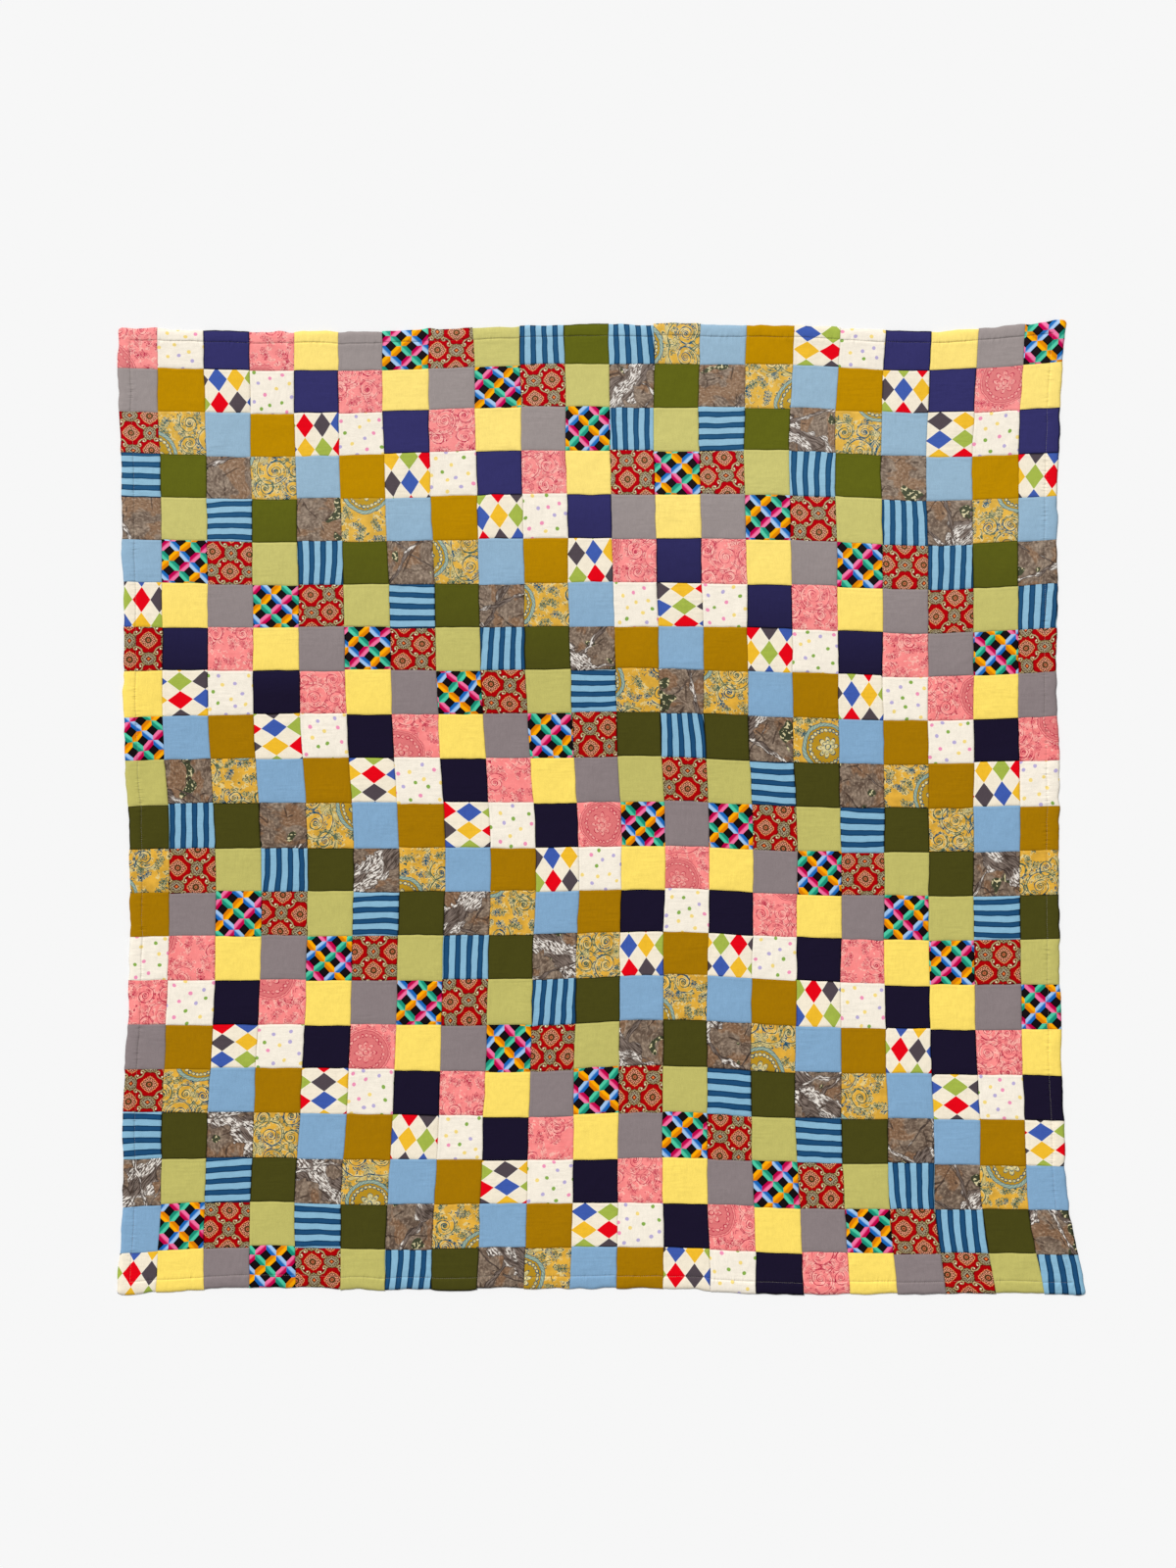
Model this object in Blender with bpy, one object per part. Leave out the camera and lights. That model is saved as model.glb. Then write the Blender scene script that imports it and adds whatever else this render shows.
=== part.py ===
"""Patchwork quilt laid out flat, patched face up.

Twenty-one strips of twenty-two squares are sewn side by side. Each square swells softly
between its seams, and one row of stitching holds the turned edge all round. X runs across
the strips, +Y towards row 1, and the underside lies on z = 0.
"""

import random

import bmesh
import bpy

# The patchwork, in metres.
STRIPS = 21
ROWS = 22
SQUARE_WIDTH = 0.1016      # seam to seam across a strip
SQUARE_LENGTH = 0.0993     # seam to seam down a strip
SIDE_WIDTH = 0.0850        # what the hem leaves of the two outer strips
END_LENGTH = 0.0904        # what the hem leaves of the first and last rows

# The cloth's height above the surface, in metres.
SEAM_HEIGHT = 0.0022
CROWN_HEIGHT = 0.0036
SHOULDER = 0.13            # share of a square that climbs from a seam to its crown

# The hem's cross-section: distance in from the edge, and the cloth's height there.
HEM_PROFILE = (
    {"inset": 0.0000, "height": 0.0020},
    {"inset": 0.0050, "height": 0.0040},
    {"inset": 0.0215, "height": 0.0038},
    {"inset": 0.0260, "height": 0.0024},
    {"inset": 0.0305, "height": 0.0034},
)

# Where the strip seams drift to the right, in millimetres, at nine rows down the quilt.
# The eight values in a line belong to the strip seams in DRIFT_SEAMS.
DRIFT_SEAMS = (0, 3, 6, 9, 12, 15, 18, 21)
DRIFT_RIGHT = (
    {"row": 0, "mm": (-16, -9, -13, -12, -13, -2, 2, 15)},
    {"row": 3, "mm": (-8, -4, -10, -5, -12, -13, -9, -3)},
    {"row": 6, "mm": (-2, 0, 1, 0, -5, -7, -5, -7)},
    {"row": 9, "mm": (-1, 2, 9, 8, 1, -4, -5, -4)},
    {"row": 12, "mm": (13, 19, 24, 26, 12, 5, -4, 0)},
    {"row": 15, "mm": (10, 17, 19, 18, 8, 4, -4, 2)},
    {"row": 18, "mm": (-3, 2, 10, 11, 8, 2, 7, 9)},
    {"row": 20, "mm": (-2, -7, -3, 6, 7, 10, 11, 22)},
    {"row": 22, "mm": (-18, -7, -7, -2, 9, 18, 35, 62)},
)
# The same for the row seams, which drift towards row 1.
DRIFT_UP = (
    {"row": 0, "mm": (-4, -11, -11, 1, 5, 0, -11, 15)},
    {"row": 3, "mm": (4, -3, 2, 11, 9, 9, -3, 7)},
    {"row": 6, "mm": (13, 7, 7, 9, 11, 7, -4, 11)},
    {"row": 9, "mm": (7, 13, 15, 14, 18, 7, 0, 11)},
    {"row": 12, "mm": (6, 12, 11, 12, 15, 4, 1, 6)},
    {"row": 15, "mm": (9, 11, 11, 13, 24, 9, 0, 4)},
    {"row": 18, "mm": (11, 11, 7, 2, 13, 0, -2, -9)},
    {"row": 20, "mm": (-2, 9, 3, 6, 6, -4, -7, -9)},
    {"row": 22, "mm": (-11, 7, 2, 4, 6, -9, -6, -9)},
)
MM = 0.001

# Small sewing unevenness, in metres.
STEP = 0.0022              # how far a row seam steps from one strip to the next
WANDER = 0.0016            # how far a strip seam strays between its rows
BULGE = 0.0018             # how far a square's outer edge bows in or out
SEED = 22

CLOTH_COLOR = (0.43, 0.32, 0.23, 1.0)
CLOTH_ROUGHNESS = 0.9


def curve_through(stations, values, at):
    """Read a smooth curve through the values at the stations."""
    last = len(stations) - 1
    slopes = []
    for k in range(last + 1):
        before, after = max(k - 1, 0), min(k + 1, last)
        slopes.append((values[after] - values[before]) / (stations[after] - stations[before]))
    k = 0
    while k < last - 1 and at > stations[k + 1]:
        k += 1
    span = stations[k + 1] - stations[k]
    t = (at - stations[k]) / span
    rise = t * t * (3 - 2 * t)
    start_bend = t * (1 - t) * (1 - t)
    end_bend = t * t * (t - 1)
    return (
        values[k] * (1 - rise)
        + values[k + 1] * rise
        + span * (slopes[k] * start_bend + slopes[k + 1] * end_bend)
    )


def drift(table, strip, row):
    """Read a drift table at a place counted in strips and rows, in metres."""
    at_rows = [curve_through(DRIFT_SEAMS, line["mm"], strip) for line in table]
    return MM * curve_through([line["row"] for line in table], at_rows, row)


def make_unevenness():
    """Draw the seeded steps, strays and bulges of the sewing."""
    draw = random.Random(SEED)
    return {
        "step": [[draw.uniform(-STEP, STEP) for _ in range(ROWS + 1)] for _ in range(STRIPS)],
        "wander": [[draw.uniform(-WANDER, WANDER) for _ in range(ROWS + 1)] for _ in range(STRIPS + 1)],
        "end_bulge": [[draw.uniform(-BULGE, BULGE) for _ in range(STRIPS)] for _ in range(2)],
        "side_bulge": [[draw.uniform(-BULGE, BULGE) for _ in range(ROWS)] for _ in range(2)],
    }


def between(values, at):
    """Read a list at a place between two of its entries."""
    k = min(int(at), len(values) - 2)
    return values[k] + (values[k + 1] - values[k]) * (at - k)


def seam_place(count, square, outer, at):
    """Distance from the first edge to a place counted in squares of even size."""
    if at <= 1:
        return outer * at
    if at >= count - 1:
        return outer + square * (count - 2) + outer * (at - count + 1)
    return outer + square * (at - 1)


def row_step(steps, strip, row):
    """The step of a row seam: a strip's own inside it, and the mean of two on their seam."""
    left = max(0, min(STRIPS - 1, int(strip) - 1 if strip == int(strip) else int(strip)))
    right = min(STRIPS - 1, int(strip))
    return (between(steps[left], row) + between(steps[right], row)) / 2


def edge_bulge(bulges, along, across, across_count):
    """The bow of the outer edge at the first and last square, fading to their inner seam."""
    index = min(int(along), len(bulges[0]) - 1)
    part = along - index
    bow = 4 * part * (1 - part)
    if across < 1:
        return bulges[0][index] * bow * (1 - across)
    if across > across_count - 1:
        return bulges[1][index] * bow * (across - across_count + 1)
    return 0.0


def place(uneven, strip, row):
    """Where a point of the patchwork lies, before the quilt is centred."""
    width = 2 * SIDE_WIDTH + SQUARE_WIDTH * (STRIPS - 2)
    length = 2 * END_LENGTH + SQUARE_LENGTH * (ROWS - 2)
    stray = between([between(line, row) for line in uneven["wander"]], strip)
    x = seam_place(STRIPS, SQUARE_WIDTH, SIDE_WIDTH, strip) - width / 2
    x += drift(DRIFT_RIGHT, strip, row) + stray
    x += edge_bulge(uneven["side_bulge"], row, strip, STRIPS)
    y = length / 2 - seam_place(ROWS, SQUARE_LENGTH, END_LENGTH, row)
    y += drift(DRIFT_UP, strip, row) + row_step(uneven["step"], strip, row)
    y += edge_bulge(uneven["end_bulge"], strip, row, ROWS)
    return x, y


def swell(count, outer, at):
    """The cloth's height at a place counted in squares, as seen along one direction."""
    inset = min(at, count - at) * outer
    if inset < HEM_PROFILE[-1]["inset"]:
        for near, far in zip(HEM_PROFILE, HEM_PROFILE[1:]):
            if inset <= far["inset"]:
                part = (inset - near["inset"]) / (far["inset"] - near["inset"])
                return near["height"] + (far["height"] - near["height"]) * part
    from_seam = abs(at - round(at))
    if from_seam >= SHOULDER or round(at) in (0, count):
        return CROWN_HEIGHT
    return SEAM_HEIGHT + (CROWN_HEIGHT - SEAM_HEIGHT) * from_seam / SHOULDER


def mesh_lines(count, outer):
    """The mesh lines in one direction: every seam, its two shoulders and the hem's lines."""
    hem = [point["inset"] / outer for point in HEM_PROFILE[1:]]
    lines = [0.0]
    for square in range(count):
        first = hem if square == 0 else [SHOULDER]
        last = [1 - part for part in reversed(hem)] if square == count - 1 else [1 - SHOULDER]
        lines += [square + part for part in first + last]
        lines.append(square + 1.0)
    return lines


def make_quilt():
    """One closed sheet: the swelling face on top, a thin edge, and a flat underside."""
    uneven = make_unevenness()
    across = mesh_lines(STRIPS, SIDE_WIDTH)
    down = mesh_lines(ROWS, END_LENGTH)
    sheet = bmesh.new()
    bmesh.ops.create_grid(sheet, x_segments=len(across) - 1, y_segments=len(down) - 1, size=0.5)
    for vert in sheet.verts:
        strip = across[round((0.5 + vert.co.x) * (len(across) - 1))]
        row = down[round((0.5 - vert.co.y) * (len(down) - 1))]
        x, y = place(uneven, strip, row)
        height = min(swell(STRIPS, SIDE_WIDTH, strip), swell(ROWS, END_LENGTH, row))
        vert.co = (x, y, height)

    rim = [edge for edge in sheet.edges if edge.is_boundary]
    walls = bmesh.ops.extrude_edge_only(sheet, edges=rim)["geom"]
    for item in walls:
        if isinstance(item, bmesh.types.BMVert):
            item.co.z = 0.0
    foot = [edge for edge in sheet.edges if edge.is_boundary]
    bmesh.ops.holes_fill(sheet, edges=foot, sides=0)
    bmesh.ops.recalc_face_normals(sheet, faces=sheet.faces)

    xs = [vert.co.x for vert in sheet.verts]
    ys = [vert.co.y for vert in sheet.verts]
    middle = ((min(xs) + max(xs)) / 2, (min(ys) + max(ys)) / 2, 0.0)
    bmesh.ops.translate(sheet, verts=sheet.verts, vec=(-middle[0], -middle[1], 0.0))

    mesh = bpy.data.meshes.new("quilt")
    sheet.to_mesh(mesh)
    sheet.free()
    return bpy.data.objects.new("quilt", mesh)


def make_cloth_material():
    """Plain woven cotton in the patchwork's mean colour."""
    material = bpy.data.materials.new("cotton")
    material.use_nodes = True
    shader = material.node_tree.nodes["Principled BSDF"]
    shader.inputs["Base Color"].default_value = CLOTH_COLOR
    shader.inputs["Roughness"].default_value = CLOTH_ROUGHNESS
    shader.inputs["Metallic"].default_value = 0.0
    material.diffuse_color = CLOTH_COLOR
    return material


def main():
    for item in list(bpy.data.objects):
        bpy.data.objects.remove(item, do_unlink=True)
    collection = bpy.data.collections.new("patchwork_quilt")
    bpy.context.scene.collection.children.link(collection)
    quilt = make_quilt()
    quilt.data.materials.append(make_cloth_material())
    collection.objects.link(quilt)


main()
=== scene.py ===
"""Looks of a patchwork quilt laid out flat: fifteen cottons, sewn in strips and hemmed.

Lengths are in metres, and inside the print patterns in millimetres. X runs across the strips,
+Y towards row 1. Places on the patchwork are counted in strips and rows: (0, 0) is the corner
at -X and +Y, and (STRIPS, ROWS) the opposite one.
"""

import math
import random

import bpy
import numpy as np
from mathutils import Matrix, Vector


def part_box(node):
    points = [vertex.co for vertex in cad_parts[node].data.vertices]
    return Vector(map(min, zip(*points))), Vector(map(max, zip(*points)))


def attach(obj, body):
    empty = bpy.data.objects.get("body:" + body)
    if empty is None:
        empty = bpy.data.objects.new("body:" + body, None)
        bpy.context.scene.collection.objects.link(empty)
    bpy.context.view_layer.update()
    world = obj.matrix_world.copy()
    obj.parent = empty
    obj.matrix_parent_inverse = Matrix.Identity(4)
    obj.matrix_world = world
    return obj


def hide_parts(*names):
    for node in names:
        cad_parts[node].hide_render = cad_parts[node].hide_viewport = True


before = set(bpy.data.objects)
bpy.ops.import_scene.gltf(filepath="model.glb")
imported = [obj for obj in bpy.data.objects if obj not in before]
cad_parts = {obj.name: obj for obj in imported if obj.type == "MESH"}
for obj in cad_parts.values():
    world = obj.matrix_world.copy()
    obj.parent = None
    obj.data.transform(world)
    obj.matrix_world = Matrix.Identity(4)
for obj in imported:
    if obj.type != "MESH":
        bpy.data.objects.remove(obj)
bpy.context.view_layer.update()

MM = 0.001

# ---------------------------------------------------------------- sizes, as in the model

STRIPS = 21
ROWS = 22
SQUARE_WIDTH = 0.1016
SQUARE_LENGTH = 0.0993
SIDE_WIDTH = 0.0850
END_LENGTH = 0.0904
WIDTH = 2 * SIDE_WIDTH + SQUARE_WIDTH * (STRIPS - 2)
LENGTH = 2 * END_LENGTH + SQUARE_LENGTH * (ROWS - 2)

SEAM_HEIGHT = 0.0022
CROWN_HEIGHT = 0.0036
HEM_INSET = 0.0260         # the hem's row of stitches, measured in from the edge

# Where the strip seams drift to the right, in millimetres, at nine rows down the quilt.
# The eight values in a line belong to the strip seams in DRIFT_SEAMS.
DRIFT_SEAMS = (0, 3, 6, 9, 12, 15, 18, 21)
DRIFT_RIGHT = (
    {"row": 0, "mm": (-16, -9, -13, -12, -13, -2, 2, 15)},
    {"row": 3, "mm": (-8, -4, -10, -5, -12, -13, -9, -3)},
    {"row": 6, "mm": (-2, 0, 1, 0, -5, -7, -5, -7)},
    {"row": 9, "mm": (-1, 2, 9, 8, 1, -4, -5, -4)},
    {"row": 12, "mm": (13, 19, 24, 26, 12, 5, -4, 0)},
    {"row": 15, "mm": (10, 17, 19, 18, 8, 4, -4, 2)},
    {"row": 18, "mm": (-3, 2, 10, 11, 8, 2, 7, 9)},
    {"row": 20, "mm": (-2, -7, -3, 6, 7, 10, 11, 22)},
    {"row": 22, "mm": (-18, -7, -7, -2, 9, 18, 35, 62)},
)
# The same for the row seams, which drift towards row 1.
DRIFT_UP = (
    {"row": 0, "mm": (-4, -11, -11, 1, 5, 0, -11, 15)},
    {"row": 3, "mm": (4, -3, 2, 11, 9, 9, -3, 7)},
    {"row": 6, "mm": (13, 7, 7, 9, 11, 7, -4, 11)},
    {"row": 9, "mm": (7, 13, 15, 14, 18, 7, 0, 11)},
    {"row": 12, "mm": (6, 12, 11, 12, 15, 4, 1, 6)},
    {"row": 15, "mm": (9, 11, 11, 13, 24, 9, 0, 4)},
    {"row": 18, "mm": (11, 11, 7, 2, 13, 0, -2, -9)},
    {"row": 20, "mm": (-2, 9, 3, 6, 6, -4, -7, -9)},
    {"row": 22, "mm": (-11, 7, 2, 4, 6, -9, -6, -9)},
)

STEP = 0.0022              # how far a row seam steps from one strip to the next
WANDER = 0.0016            # how far a strip seam strays between its rows
BULGE = 0.0018             # how far a square's outer edge bows in or out
SEED = 22

# ---------------------------------------------------------------- the chart of squares

# The fabrics in the order in which every strip runs through them.
CYCLE = (
    "dots", "navy", "pink_scroll", "yellow", "grey", "ribbon", "foulard", "lime",
    "stripe", "olive", "bark", "ochre_scroll", "blue", "mustard", "harlequin",
)
STEP_BACK = 2              # places in the cycle that each row moves back by

# Squares (row, column) whose print lies sideways.
SIDEWAYS = {
    "stripe": (
        (3, 14), (4, 1), (5, 3), (7, 7), (9, 11), (11, 15), (12, 17), (14, 6), (14, 20),
        (18, 14), (19, 1), (19, 16), (20, 3), (21, 5),
    ),
    "harlequin": (
        (1, 16), (3, 19), (7, 13), (9, 2), (10, 4), (11, 6), (12, 8), (17, 3), (18, 5),
        (18, 19), (19, 21), (20, 9), (21, 11),
    ),
}


def fabric_of(row, column):
    """The fabric of a square, both counted from 1."""
    if column == 1:
        return "foulard" if row == 8 else CYCLE[STEP_BACK * row % len(CYCLE)]
    if (row, column) == (1, 12):
        return "stripe"
    place = column - STEP_BACK * row
    if column == 12 and 2 <= row <= 17:
        place += STEP_BACK
    if column >= 19:
        place += 1
    return CYCLE[place % len(CYCLE)]


# ---------------------------------------------------------------- the lie of the cloth


def curve_weights(stations, at):
    """Rows of weights that read a smooth curve through values at the stations."""
    last = len(stations) - 1
    slopes = np.zeros((last + 1, last + 1))
    for k in range(last + 1):
        before, after = max(k - 1, 0), min(k + 1, last)
        span = stations[after] - stations[before]
        slopes[k, after] += 1 / span
        slopes[k, before] -= 1 / span
    weights = np.zeros((len(at), last + 1))
    for line, value in enumerate(at):
        k = 0
        while k < last - 1 and value > stations[k + 1]:
            k += 1
        span = stations[k + 1] - stations[k]
        t = (value - stations[k]) / span
        rise = t * t * (3 - 2 * t)
        weights[line, k] += 1 - rise
        weights[line, k + 1] += rise
        weights[line] += span * (t * (1 - t) ** 2 * slopes[k] + t * t * (t - 1) * slopes[k + 1])
    return weights


def drift(table, strips, rows):
    """A drift table read over a grid of places, in metres: one line for each row."""
    values = MM * np.array([line["mm"] for line in table], dtype=float)
    down = curve_weights([line["row"] for line in table], rows)
    across = curve_weights(DRIFT_SEAMS, strips)
    return down @ values @ across.T


def make_unevenness():
    """The seeded steps, strays and bulges of the sewing, drawn in the model's order."""
    draw = random.Random(SEED)

    def some(reach, lines, count):
        return np.array([[draw.uniform(-reach, reach) for _ in range(count)] for _ in range(lines)])

    return {
        "step": some(STEP, STRIPS, ROWS + 1),
        "wander": some(WANDER, STRIPS + 1, ROWS + 1),
        "end_bulge": some(BULGE, 2, STRIPS),
        "side_bulge": some(BULGE, 2, ROWS),
    }


UNEVEN = make_unevenness()


def seam_place(count, square, outer, at):
    """Distance from the first edge to places counted in squares."""
    inner = outer + square * (at - 1)
    far = outer + square * (count - 2) + outer * (at - count + 1)
    return np.where(at <= 1, outer * at, np.where(at >= count - 1, far, inner))


def edge_bulge(bulges, along, across, across_count):
    """The bow of the outer edges over a grid. Places are counted along and across the edge."""
    index = np.minimum(along.astype(int), bulges.shape[1] - 1)
    bow = 4 * (along - index) * (1 - (along - index))
    near = np.clip(1 - across, 0, 1)
    far = np.clip(across - across_count + 1, 0, 1)
    return bow * (bulges[0][index] * near + bulges[1][index] * far)


def place(column, strips, rows):
    """Where the points of a grid on one strip lie: x and y, with one line for each row."""
    seams = np.arange(ROWS + 1)
    left = np.interp(rows, seams, UNEVEN["wander"][column])
    right = np.interp(rows, seams, UNEVEN["wander"][column + 1])
    share = (strips - column)[None, :]
    grid_s, grid_r = np.meshgrid(strips, rows)
    x = seam_place(STRIPS, SQUARE_WIDTH, SIDE_WIDTH, strips)[None, :] - WIDTH / 2
    x = x + drift(DRIFT_RIGHT, strips, rows) + left[:, None] * (1 - share) + right[:, None] * share
    x = x + edge_bulge(UNEVEN["side_bulge"], grid_r, grid_s, STRIPS)
    y = LENGTH / 2 - seam_place(ROWS, SQUARE_LENGTH, END_LENGTH, rows)[:, None]
    y = y + drift(DRIFT_UP, strips, rows) + np.interp(rows, seams, UNEVEN["step"][column])[:, None]
    y = y + edge_bulge(UNEVEN["end_bulge"], grid_s, grid_r, ROWS)
    return x, y


# The cloth's soft noises: size of the cells across and along in metres, and a seed.
NOISES = {
    "gather at upright seams": (0.030, 0.0085, 1),
    "gather at level seams": (0.0085, 0.030, 2),
    "waves": (0.060, 0.080, 3),
    "unevenness": (0.022, 0.034, 4),
    "hem waves": (0.024, 0.024, 5),
    "gather at side stitches": (0.030, 0.008, 6),
    "gather at end stitches": (0.008, 0.030, 7),
    "drift across": (0.036, 0.036, 11),
    "fine drift across": (0.015, 0.015, 12),
    "drift along": (0.036, 0.036, 13),
    "fine drift along": (0.015, 0.015, 14),
    "side edge": (0.2, 0.026, 15),
    "fine side edge": (0.2, 0.013, 17),
    "end edge": (0.026, 0.2, 16),
    "fine end edge": (0.013, 0.2, 18),
}


def noise(name, x, y):
    """One of the soft noises, from -1 to 1, over places in metres."""
    cell_x, cell_y, seed = NOISES[name]
    lattice = np.random.default_rng(seed).uniform(-1, 1, (128, 128))
    u, v = x / cell_x + 64.0, y / cell_y + 64.0
    i, j = np.floor(u).astype(int), np.floor(v).astype(int)
    a, b = u - i, v - j
    a, b = a * a * (3 - 2 * a), b * b * (3 - 2 * b)
    i, j, i_next, j_next = i % 128, j % 128, (i + 1) % 128, (j + 1) % 128
    top = lattice[j, i] * (1 - a) + lattice[j, i_next] * a
    low = lattice[j_next, i] * (1 - a) + lattice[j_next, i_next] * a
    return top * (1 - b) + low * b


SWAY = 0.0010              # small drift of every seam
EDGE_SWAY = 0.0022         # in and out of the outer edges
EDGE_REACH = 0.016         # how far in from an edge that goes
CORNER_ROUND = 0.011


def swayed(x, y, strips, rows):
    """The places of a grid with the small drift of the seams, and uneven edges and corners."""
    grid_s, grid_r = np.meshgrid(strips, rows)
    side = np.minimum(grid_s, STRIPS - grid_s) * SIDE_WIDTH
    end = np.minimum(grid_r, ROWS - grid_r) * END_LENGTH
    right, down = grid_s > STRIPS / 2, grid_r > ROWS / 2
    round_x = np.clip(1 - side / CORNER_ROUND, 0, 1)
    round_y = np.clip(1 - end / CORNER_ROUND, 0, 1)
    reach = np.maximum(np.hypot(round_x, round_y), 1e-9)
    pull = CORNER_ROUND * (1 - np.maximum(round_x, round_y) / reach)

    def moved(way, edge, inset, rounding):
        seams = SWAY * noise(f"drift {way}", x, y) + 0.5 * SWAY * noise(f"fine drift {way}", x, y)
        wave = noise(f"{edge} edge", x, y) + 0.4 * noise(f"fine {edge} edge", x, y)
        return seams + (EDGE_SWAY * wave * np.exp(-inset / EDGE_REACH) + rounding)

    moved_x = moved("across", "side", side, np.where(right, -1, 1) * pull * round_x)
    moved_y = moved("along", "end", end, np.where(down, 1, -1) * pull * round_y)
    return x + moved_x, y + moved_y


# Mesh lines in one half of an inner square, and across a hemmed one from its outer edge.
HALF_SQUARE_MM = (0.0, 0.9, 2.0, 3.6, 5.6, 6.8, 10.0, 15.0, 21.5, 28.5, 36.0, 43.5)
HEMMED_SQUARE_MM = (
    0.0, 0.7, 2.0, 4.5, 9.0, 14.0, 19.0, 22.6, 24.8, 26.0, 27.2, 29.6,
    34.0, 40.0, 46.5, 53.0, 59.5, 66.0, 72.0, 77.0, 79.0, 81.5, 83.2, 84.2,
)
CELLS = len(HEMMED_SQUARE_MM)
HEM_LINES = HEMMED_SQUARE_MM.index(HEM_INSET / MM)
HEM_TAIL = 0.0424          # from the stitches to the hem's last line, as a share of SIDE_WIDTH


def square_lines(index, count, outer):
    """The places of one square's mesh lines, from 0 up to but not including 1."""
    if 0 < index < count - 1:
        half = [mm * MM / SQUARE_WIDTH for mm in HALF_SQUARE_MM]
        return half + [0.5] + [1 - part for part in reversed(half[1:])]
    lines = [mm * MM / SIDE_WIDTH for mm in HEMMED_SQUARE_MM]
    if outer != SIDE_WIDTH:
        # The hem keeps its width, and the lines beyond it spread over what is left.
        hem = [part * SIDE_WIDTH / outer for part in lines[:HEM_LINES + 3]]
        span = (1 - hem[-1]) / (1 - (HEM_INSET / SIDE_WIDTH + HEM_TAIL))
        lines = hem + [1 - (1 - part) * span for part in lines[HEM_LINES + 3:]]
    if index == 0:
        return lines
    return [0.0] + [1 - part for part in reversed(lines[1:])]


def all_lines(count, outer):
    """The places of all mesh lines in one direction, counted in squares."""
    lines = [index + part for index in range(count) for part in square_lines(index, count, outer)]
    return np.array(lines + [float(count)])


ACROSS = all_lines(STRIPS, SIDE_WIDTH)
DOWN = all_lines(ROWS, END_LENGTH)

# How the cloth lies, in metres.
NOTCH = 0.0014             # half the width of the stitched line itself
NOTCH_SHARE = 0.62         # how much of the seam's depth is in it
PUFF = 0.0080              # how far from a seam the cloth has mostly risen
SEAM_DEPTH = 0.0002        # how far the stitched valley lies under the model's
ALLOWANCE = 0.0062         # pressed seam allowance, under the square right of and below a seam
ALLOWANCE_RISE = 0.00030
ALLOWANCE_START = 0.0015   # where the allowance's ledge has risen, from its seam
ALLOWANCE_END = 0.0012     # how wide its outer slope is
LEDGE_START = 0.002        # where it has risen, from a seam that crosses
LEDGES_MOST = 1.3          # how high two crossing ledges stand, in single ones
PUCKER_RISE = 0.00050      # gathers at the seams
PUCKER_REACH = 0.007
PUCKER_START = 0.001
WAVE_RISE = 0.00085        # soft waves of the whole cloth
UNEVEN_RISE = 0.00042
HEM_WAVE_RISE = 0.0007
HEM_WAVE_START = 0.004     # how far in from the edge they begin, and where they fade
HEM_WAVE_REACH = 0.030
HEM_PUCKER_RISE = 0.0004   # gathers at the hem's stitches
HEM_PUCKER_REACH = 0.008
HEM_PROUD = 0.0012         # how far the hem stands over the cloth beside it, at most
HEM_SEAM = 0.0015          # added to the way from a seam, as seams lie less deep on the hem
HEM_PROFILE = (            # metres in from the edge, height
    (0.0000, 0.0016),
    (0.0020, 0.0030),
    (0.0060, 0.0041),
    (0.0130, 0.0047),
    (0.0190, 0.0049),
    (0.0226, 0.0047),
    (0.0248, 0.0039),
    (0.0260, 0.0022),
    (0.0272, 0.0032),
    (0.0296, 0.0037),
    (0.0400, CROWN_HEIGHT),
)


def distances(count, square, outer, at):
    """Metres from places to the seam before and after them, and to the outer edge."""
    index = np.minimum(at.astype(int), count - 1)
    size = np.where((index == 0) | (index == count - 1), outer, square)
    before, after = (at - index) * size, (index + 1 - at) * size
    before_seam = np.where(index == 0, 1.0, before)
    after_seam = np.where(index == count - 1, 1.0, after)
    edge = np.where(index == 0, before, np.where(index == count - 1, after, 1.0))
    return before_seam, after_seam, edge


def puff(distance):
    """The share of its crown that the cloth has reached at a distance from a seam."""
    notch = 1 - np.exp(-((distance / NOTCH) ** 1.4))
    return NOTCH_SHARE * notch + (1 - NOTCH_SHARE) * (1 - np.exp(-((distance / PUFF) ** 1.5)))


def allowance(distance):
    """The ledge that a pressed seam allowance makes under the cloth."""
    inner = np.clip((ALLOWANCE - distance) / ALLOWANCE_END + 0.5, 0, 1)
    return inner * np.clip(distance / ALLOWANCE_START, 0, 1)


# Soft creases left in the squares, drawn for each square in turn.
CREASE_COUNTS = (0, 0, 1, 1, 2, 3)
CREASE_RISE = 0.00105
CREASE_WIDTH = 0.0032
CREASE_INSET = 0.01        # they fade out over this width at the strip's sides


def creases(column, x, y):
    """The height of the creases over the grid of one strip."""
    draw = random.Random(SEED * 100 + column)
    rise = np.zeros_like(x)
    index = np.minimum(DOWN.astype(int), ROWS - 1)
    for row in range(ROWS):
        lines = index == row
        x_in, y_in = x[lines] - x[lines].mean(), y[lines] - y[lines].mean()
        for _ in range(draw.choice(CREASE_COUNTS)):
            lean = draw.choice((0.0, 0.0, 0.5, 1.0)) * math.pi / 2 + draw.uniform(-0.35, 0.35)
            middle_x, middle_y = draw.uniform(-0.03, 0.03), draw.uniform(-0.03, 0.03)
            reach, bend = draw.uniform(0.015, 0.045), draw.uniform(-1.5, 1.5)
            height = CREASE_RISE * draw.uniform(-0.7, 1.0)
            right, up = x_in - middle_x, y_in - middle_y
            along = right * math.cos(lean) + up * math.sin(lean)
            aside = up * math.cos(lean) - right * math.sin(lean)
            aside = aside + bend * along * along
            rise[lines] += height * np.exp(-((aside / CREASE_WIDTH) ** 2) - (along / reach) ** 2)
    inset = np.minimum(x - x[:, :1], x[:, -1:] - x)
    return rise * np.clip(inset / CREASE_INSET, 0, 1)


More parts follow.
